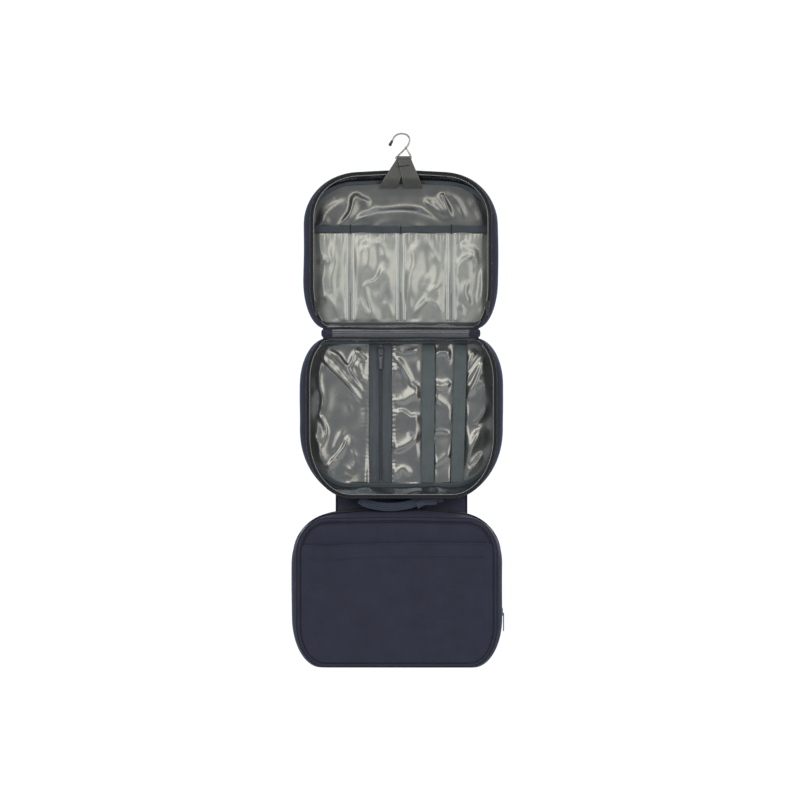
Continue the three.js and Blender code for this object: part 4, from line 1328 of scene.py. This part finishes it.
def flap():
    """The navy flap, in two halves that meet half way."""
    middle = (FLAP_TOP + FLAP_BOTTOM) / 2
    sewn = 18
    halves = (
        ("flap_upper", FLAP_TOP + sewn, middle, ("middle_tray", "flap"), FLAP_TOP,
         ["flap_hem_upper", "connecting_flap"]),
        ("flap_lower", middle, FLAP_BOTTOM - sewn, ("flap", "lower_case"), FLAP_BOTTOM, ["flap_hem_lower"]),
    )
    for name, top, bottom, bodies, fold_z, nodes in halves:
        gx, gz = np.meshgrid(np.linspace(-FLAP_HALF, FLAP_HALF, 60), np.linspace(top, bottom, 24))
        loose = np.clip(1 - ((gz - middle) / 12) ** 2, 0, 1)
        gy = FLAP_BACK - 1.0 + waves(gx, gz, 83, 50, 0.35) * loose
        web = sheet(name, np.stack([gx + MIDDLE_X, gy, gz], 2), FLAP_NAVY_PAINTED_LIGHT, 1.6)
        bend(web, "navy_fabric", nodes, bodies, FLAP_BACK, fold_z, 3)
        for side, edge in ((-1, "left"), (1, "right")):
            x = MIDDLE_X + side * (FLAP_HALF + 0.4)
            path = [(x, FLAP_BACK - 1.0, z) for z in np.linspace(top, bottom, 30)]
            strip = sweep(f"{name}_edge_{edge}", path, strap_section(3.0, 2.6, 0.8), NAVY_EDGE)
            bound = [f"flap_edge_binding_{edge}"] if name == "flap_upper" else []
            bend(strip, "black_tape", bound, bodies, FLAP_BACK, fold_z, 3)
    for i, (z, body) in enumerate(((FLAP_TOP + 16, "middle_tray"), (FLAP_BOTTOM - 16, "lower_case"))):
        for row in (0, 1):
            z_row = z + (i - row) * 2.4
            line = [(x + MIDDLE_X, FLAP_BACK + 0.1, z_row) for x in (-FLAP_HALF + 3, FLAP_HALF - 3)]
            stitches(f"flap_stitch_{i}_{row}", line, THREAD_NAVY, body)


flap()

# ---- Lower compartment -------------------------------------------------------------------------

LID_FRONT = node_low("lower_front_panel")[1]
SLIP_TOP = node_high("lower_slip_pocket")[2]
LOWER_BACK = 30


def lower_shell():
    """Both halves' cloth walls and the padded back."""
    cloth_wall("lower_case_wall", LOWER_CASE, LOWER_X, 5, "lower_case", "lower_rear_gusset", 91, 30, 0.2)
    back_panel("lower_back", LOWER_CASE[2], LOWER_X, LOWER_BACK, "lower_case", 92)
    cloth_wall("lower_lid_wall", LOWER_LID, LOWER_X, 12, "lower_lid", "lower_front_gusset", 93, 34, 0.5)


def lower_front():
    """The lid's padded front, and on it the slip pocket with its gaping mouth."""
    rim = LOWER_LID[0]

    def front_y(gx, gz):
        puff = swell(rim, gx, gz, 5)
        return LID_FRONT + 1.6 - 2.0 * puff + waves(gx, gz, 94, 80, 0.35) * puff

    def slip_y(gx, gz):
        mouth = step(gz, SLIP_TOP - 26, SLIP_TOP)
        gape = np.exp(-(((gx + 84) / 17) ** 2)) * 3.0 + np.exp(-(((gx - 20) / 60) ** 2)) * 0.9
        return front_y(gx, gz) - FABRIC - 0.4 - mouth * gape - 0.5 * swell(rim, gx, gz, 5)

    panel = sheet("lower_front", sheet_grid(inset(rim, -0.4), LOWER_X, front_y, 76, 60), NAVY, FABRIC)
    settle(smooth_mesh(panel), "lower_lid", "lower_front_panel")
    grid = sheet_grid(inset(rim, 0.3), LOWER_X, slip_y, 90, 66, top=SLIP_TOP)
    x = grid[:, :, 0]
    droop = 2.4 * np.exp(-(((x + 90) / 24) ** 2)) - 1.2 * step(x, -60, 60)
    grid[:, :, 2] -= step(grid[:, :, 2], SLIP_TOP - 30, SLIP_TOP) * droop
    slip = sheet("lower_slip", grid, NAVY, 1.3)
    settle(smooth_mesh(slip), "lower_lid", "lower_slip_pocket")
    mouth_row = grid[-1]
    hem = mouth_row[3:-3] - (0, 0.9, 15.5)
    stitches("slip_hem_stitch", hem, NAVY_EDGE, "lower_lid", 2.0, 2.9, 0.5, 0.3)
    cord("slip_mouth_fold", mouth_row[1:-1] - (0, 0.2, 0), 0.95, NAVY, "lower_lid")


def lower_piping():
    """The covered cord round the lid's front edge, and the seam on each side of it."""
    rim = LOWER_LID[0]
    path = outline_path(inset(rim, -2.4), LOWER_X, LID_FRONT + 0.9)
    piping = sweep("lower_piping", path, strap_section(4.6, 2.6, 1.2), NAVY, closed=True)
    settle(smooth_mesh(piping), "lower_lid", "lower_front_piping")
    for i, (distance, depth) in enumerate(((0.3, -0.5), (-5.1, 0.9))):
        groove = outline_path(inset(rim, distance), LOWER_X, LID_FRONT + depth)
        cord(f"lower_piping_seam_{i}", groove, 0.75, NAVY_EDGE, "lower_lid", closed=True)


def lower_linings():
    for name, station, y, body, node in (
        ("lower_front_film", LOWER_LID[0], LID_FRONT + 3.4, "lower_lid", "lower_front_lining"),
        ("lower_back_film", LOWER_CASE[2], 26.4, "lower_case", "lower_back_lining"),
    ):
        inner = inset(station, 2.6)
        grid = sheet_grid(inner, LOWER_X, lambda gx, gz: y + waves(gx, gz, 95, 36, 0.4), 70, 60)
        lining = sheet(name, grid, FILM, 0.4)
        settle(lining, body, node)


def outward(points):
    """The direction away from the compartment's middle at each point."""
    away = points - np.array([LOWER_X, 0, -535.0])
    away[:, 1] = 0
    return unit(away)


def lower_zip():
    """The zip round the compartment's top and sides: tapes on both halves, and teeth between them."""
    front, back = LOWER_LID[0]["y"], LOWER_LID[2]["y"]
    for name, station, y, toward, body, node in (
        ("lower_zip_lid", station_at(LOWER_LID, (18.6 - front) / (back - front)), 18.6, 1.6,
         "lower_lid", "lower_front_zip_chain"),
        ("lower_zip_case", LOWER_CASE[0], 22.4, -1.6, "lower_case", "lower_rear_zip_chain"),
    ):
        path = outline_path(inset(station, -0.6), LOWER_X, y, lambda z: z > -612)
        trim(name + "_tape", path, strap_section(3.4, 0.8), BLACK_TAPE, body, node, up=outward(path))
        zip_teeth(name + "_teeth", path + (0, toward, 0), 1.5, body, outward)


def side_hardware():
    """The lower zip's slider and pull, which lie against the right side."""
    x = LOWER_X + LOWER_LID[2]["half"] + 1.8
    for name, node, rim, low, high, soften, body in (
        ("lower_slider_shell", "lower_zip_slider", (3.6, 4.8, 24, 3.2), x, x + 2.2, (0.4, 3), "lower_case"),
        ("lower_pull_tab", "lower_zip_pull", (2.2, None, 28, 4), x + 2.6, x + 3.7, (0.25, 2), "lower_pull"),
    ):
        wide, tall, count, power = rim
        _, y, z = node_middle(node)
        tall = tall or (node_high(node)[2] - node_low(node)[2]) / 2
        flat = oval(y, z, wide, tall, count, power)
        piece = plate(name, flat, low, high, ZIP_BLACK, *soften, place=lambda a, b, at: (at, a, b))
        settle(piece, body, node)


lower_shell()
lower_front()
lower_piping()
lower_linings()
lower_zip()
side_hardware()
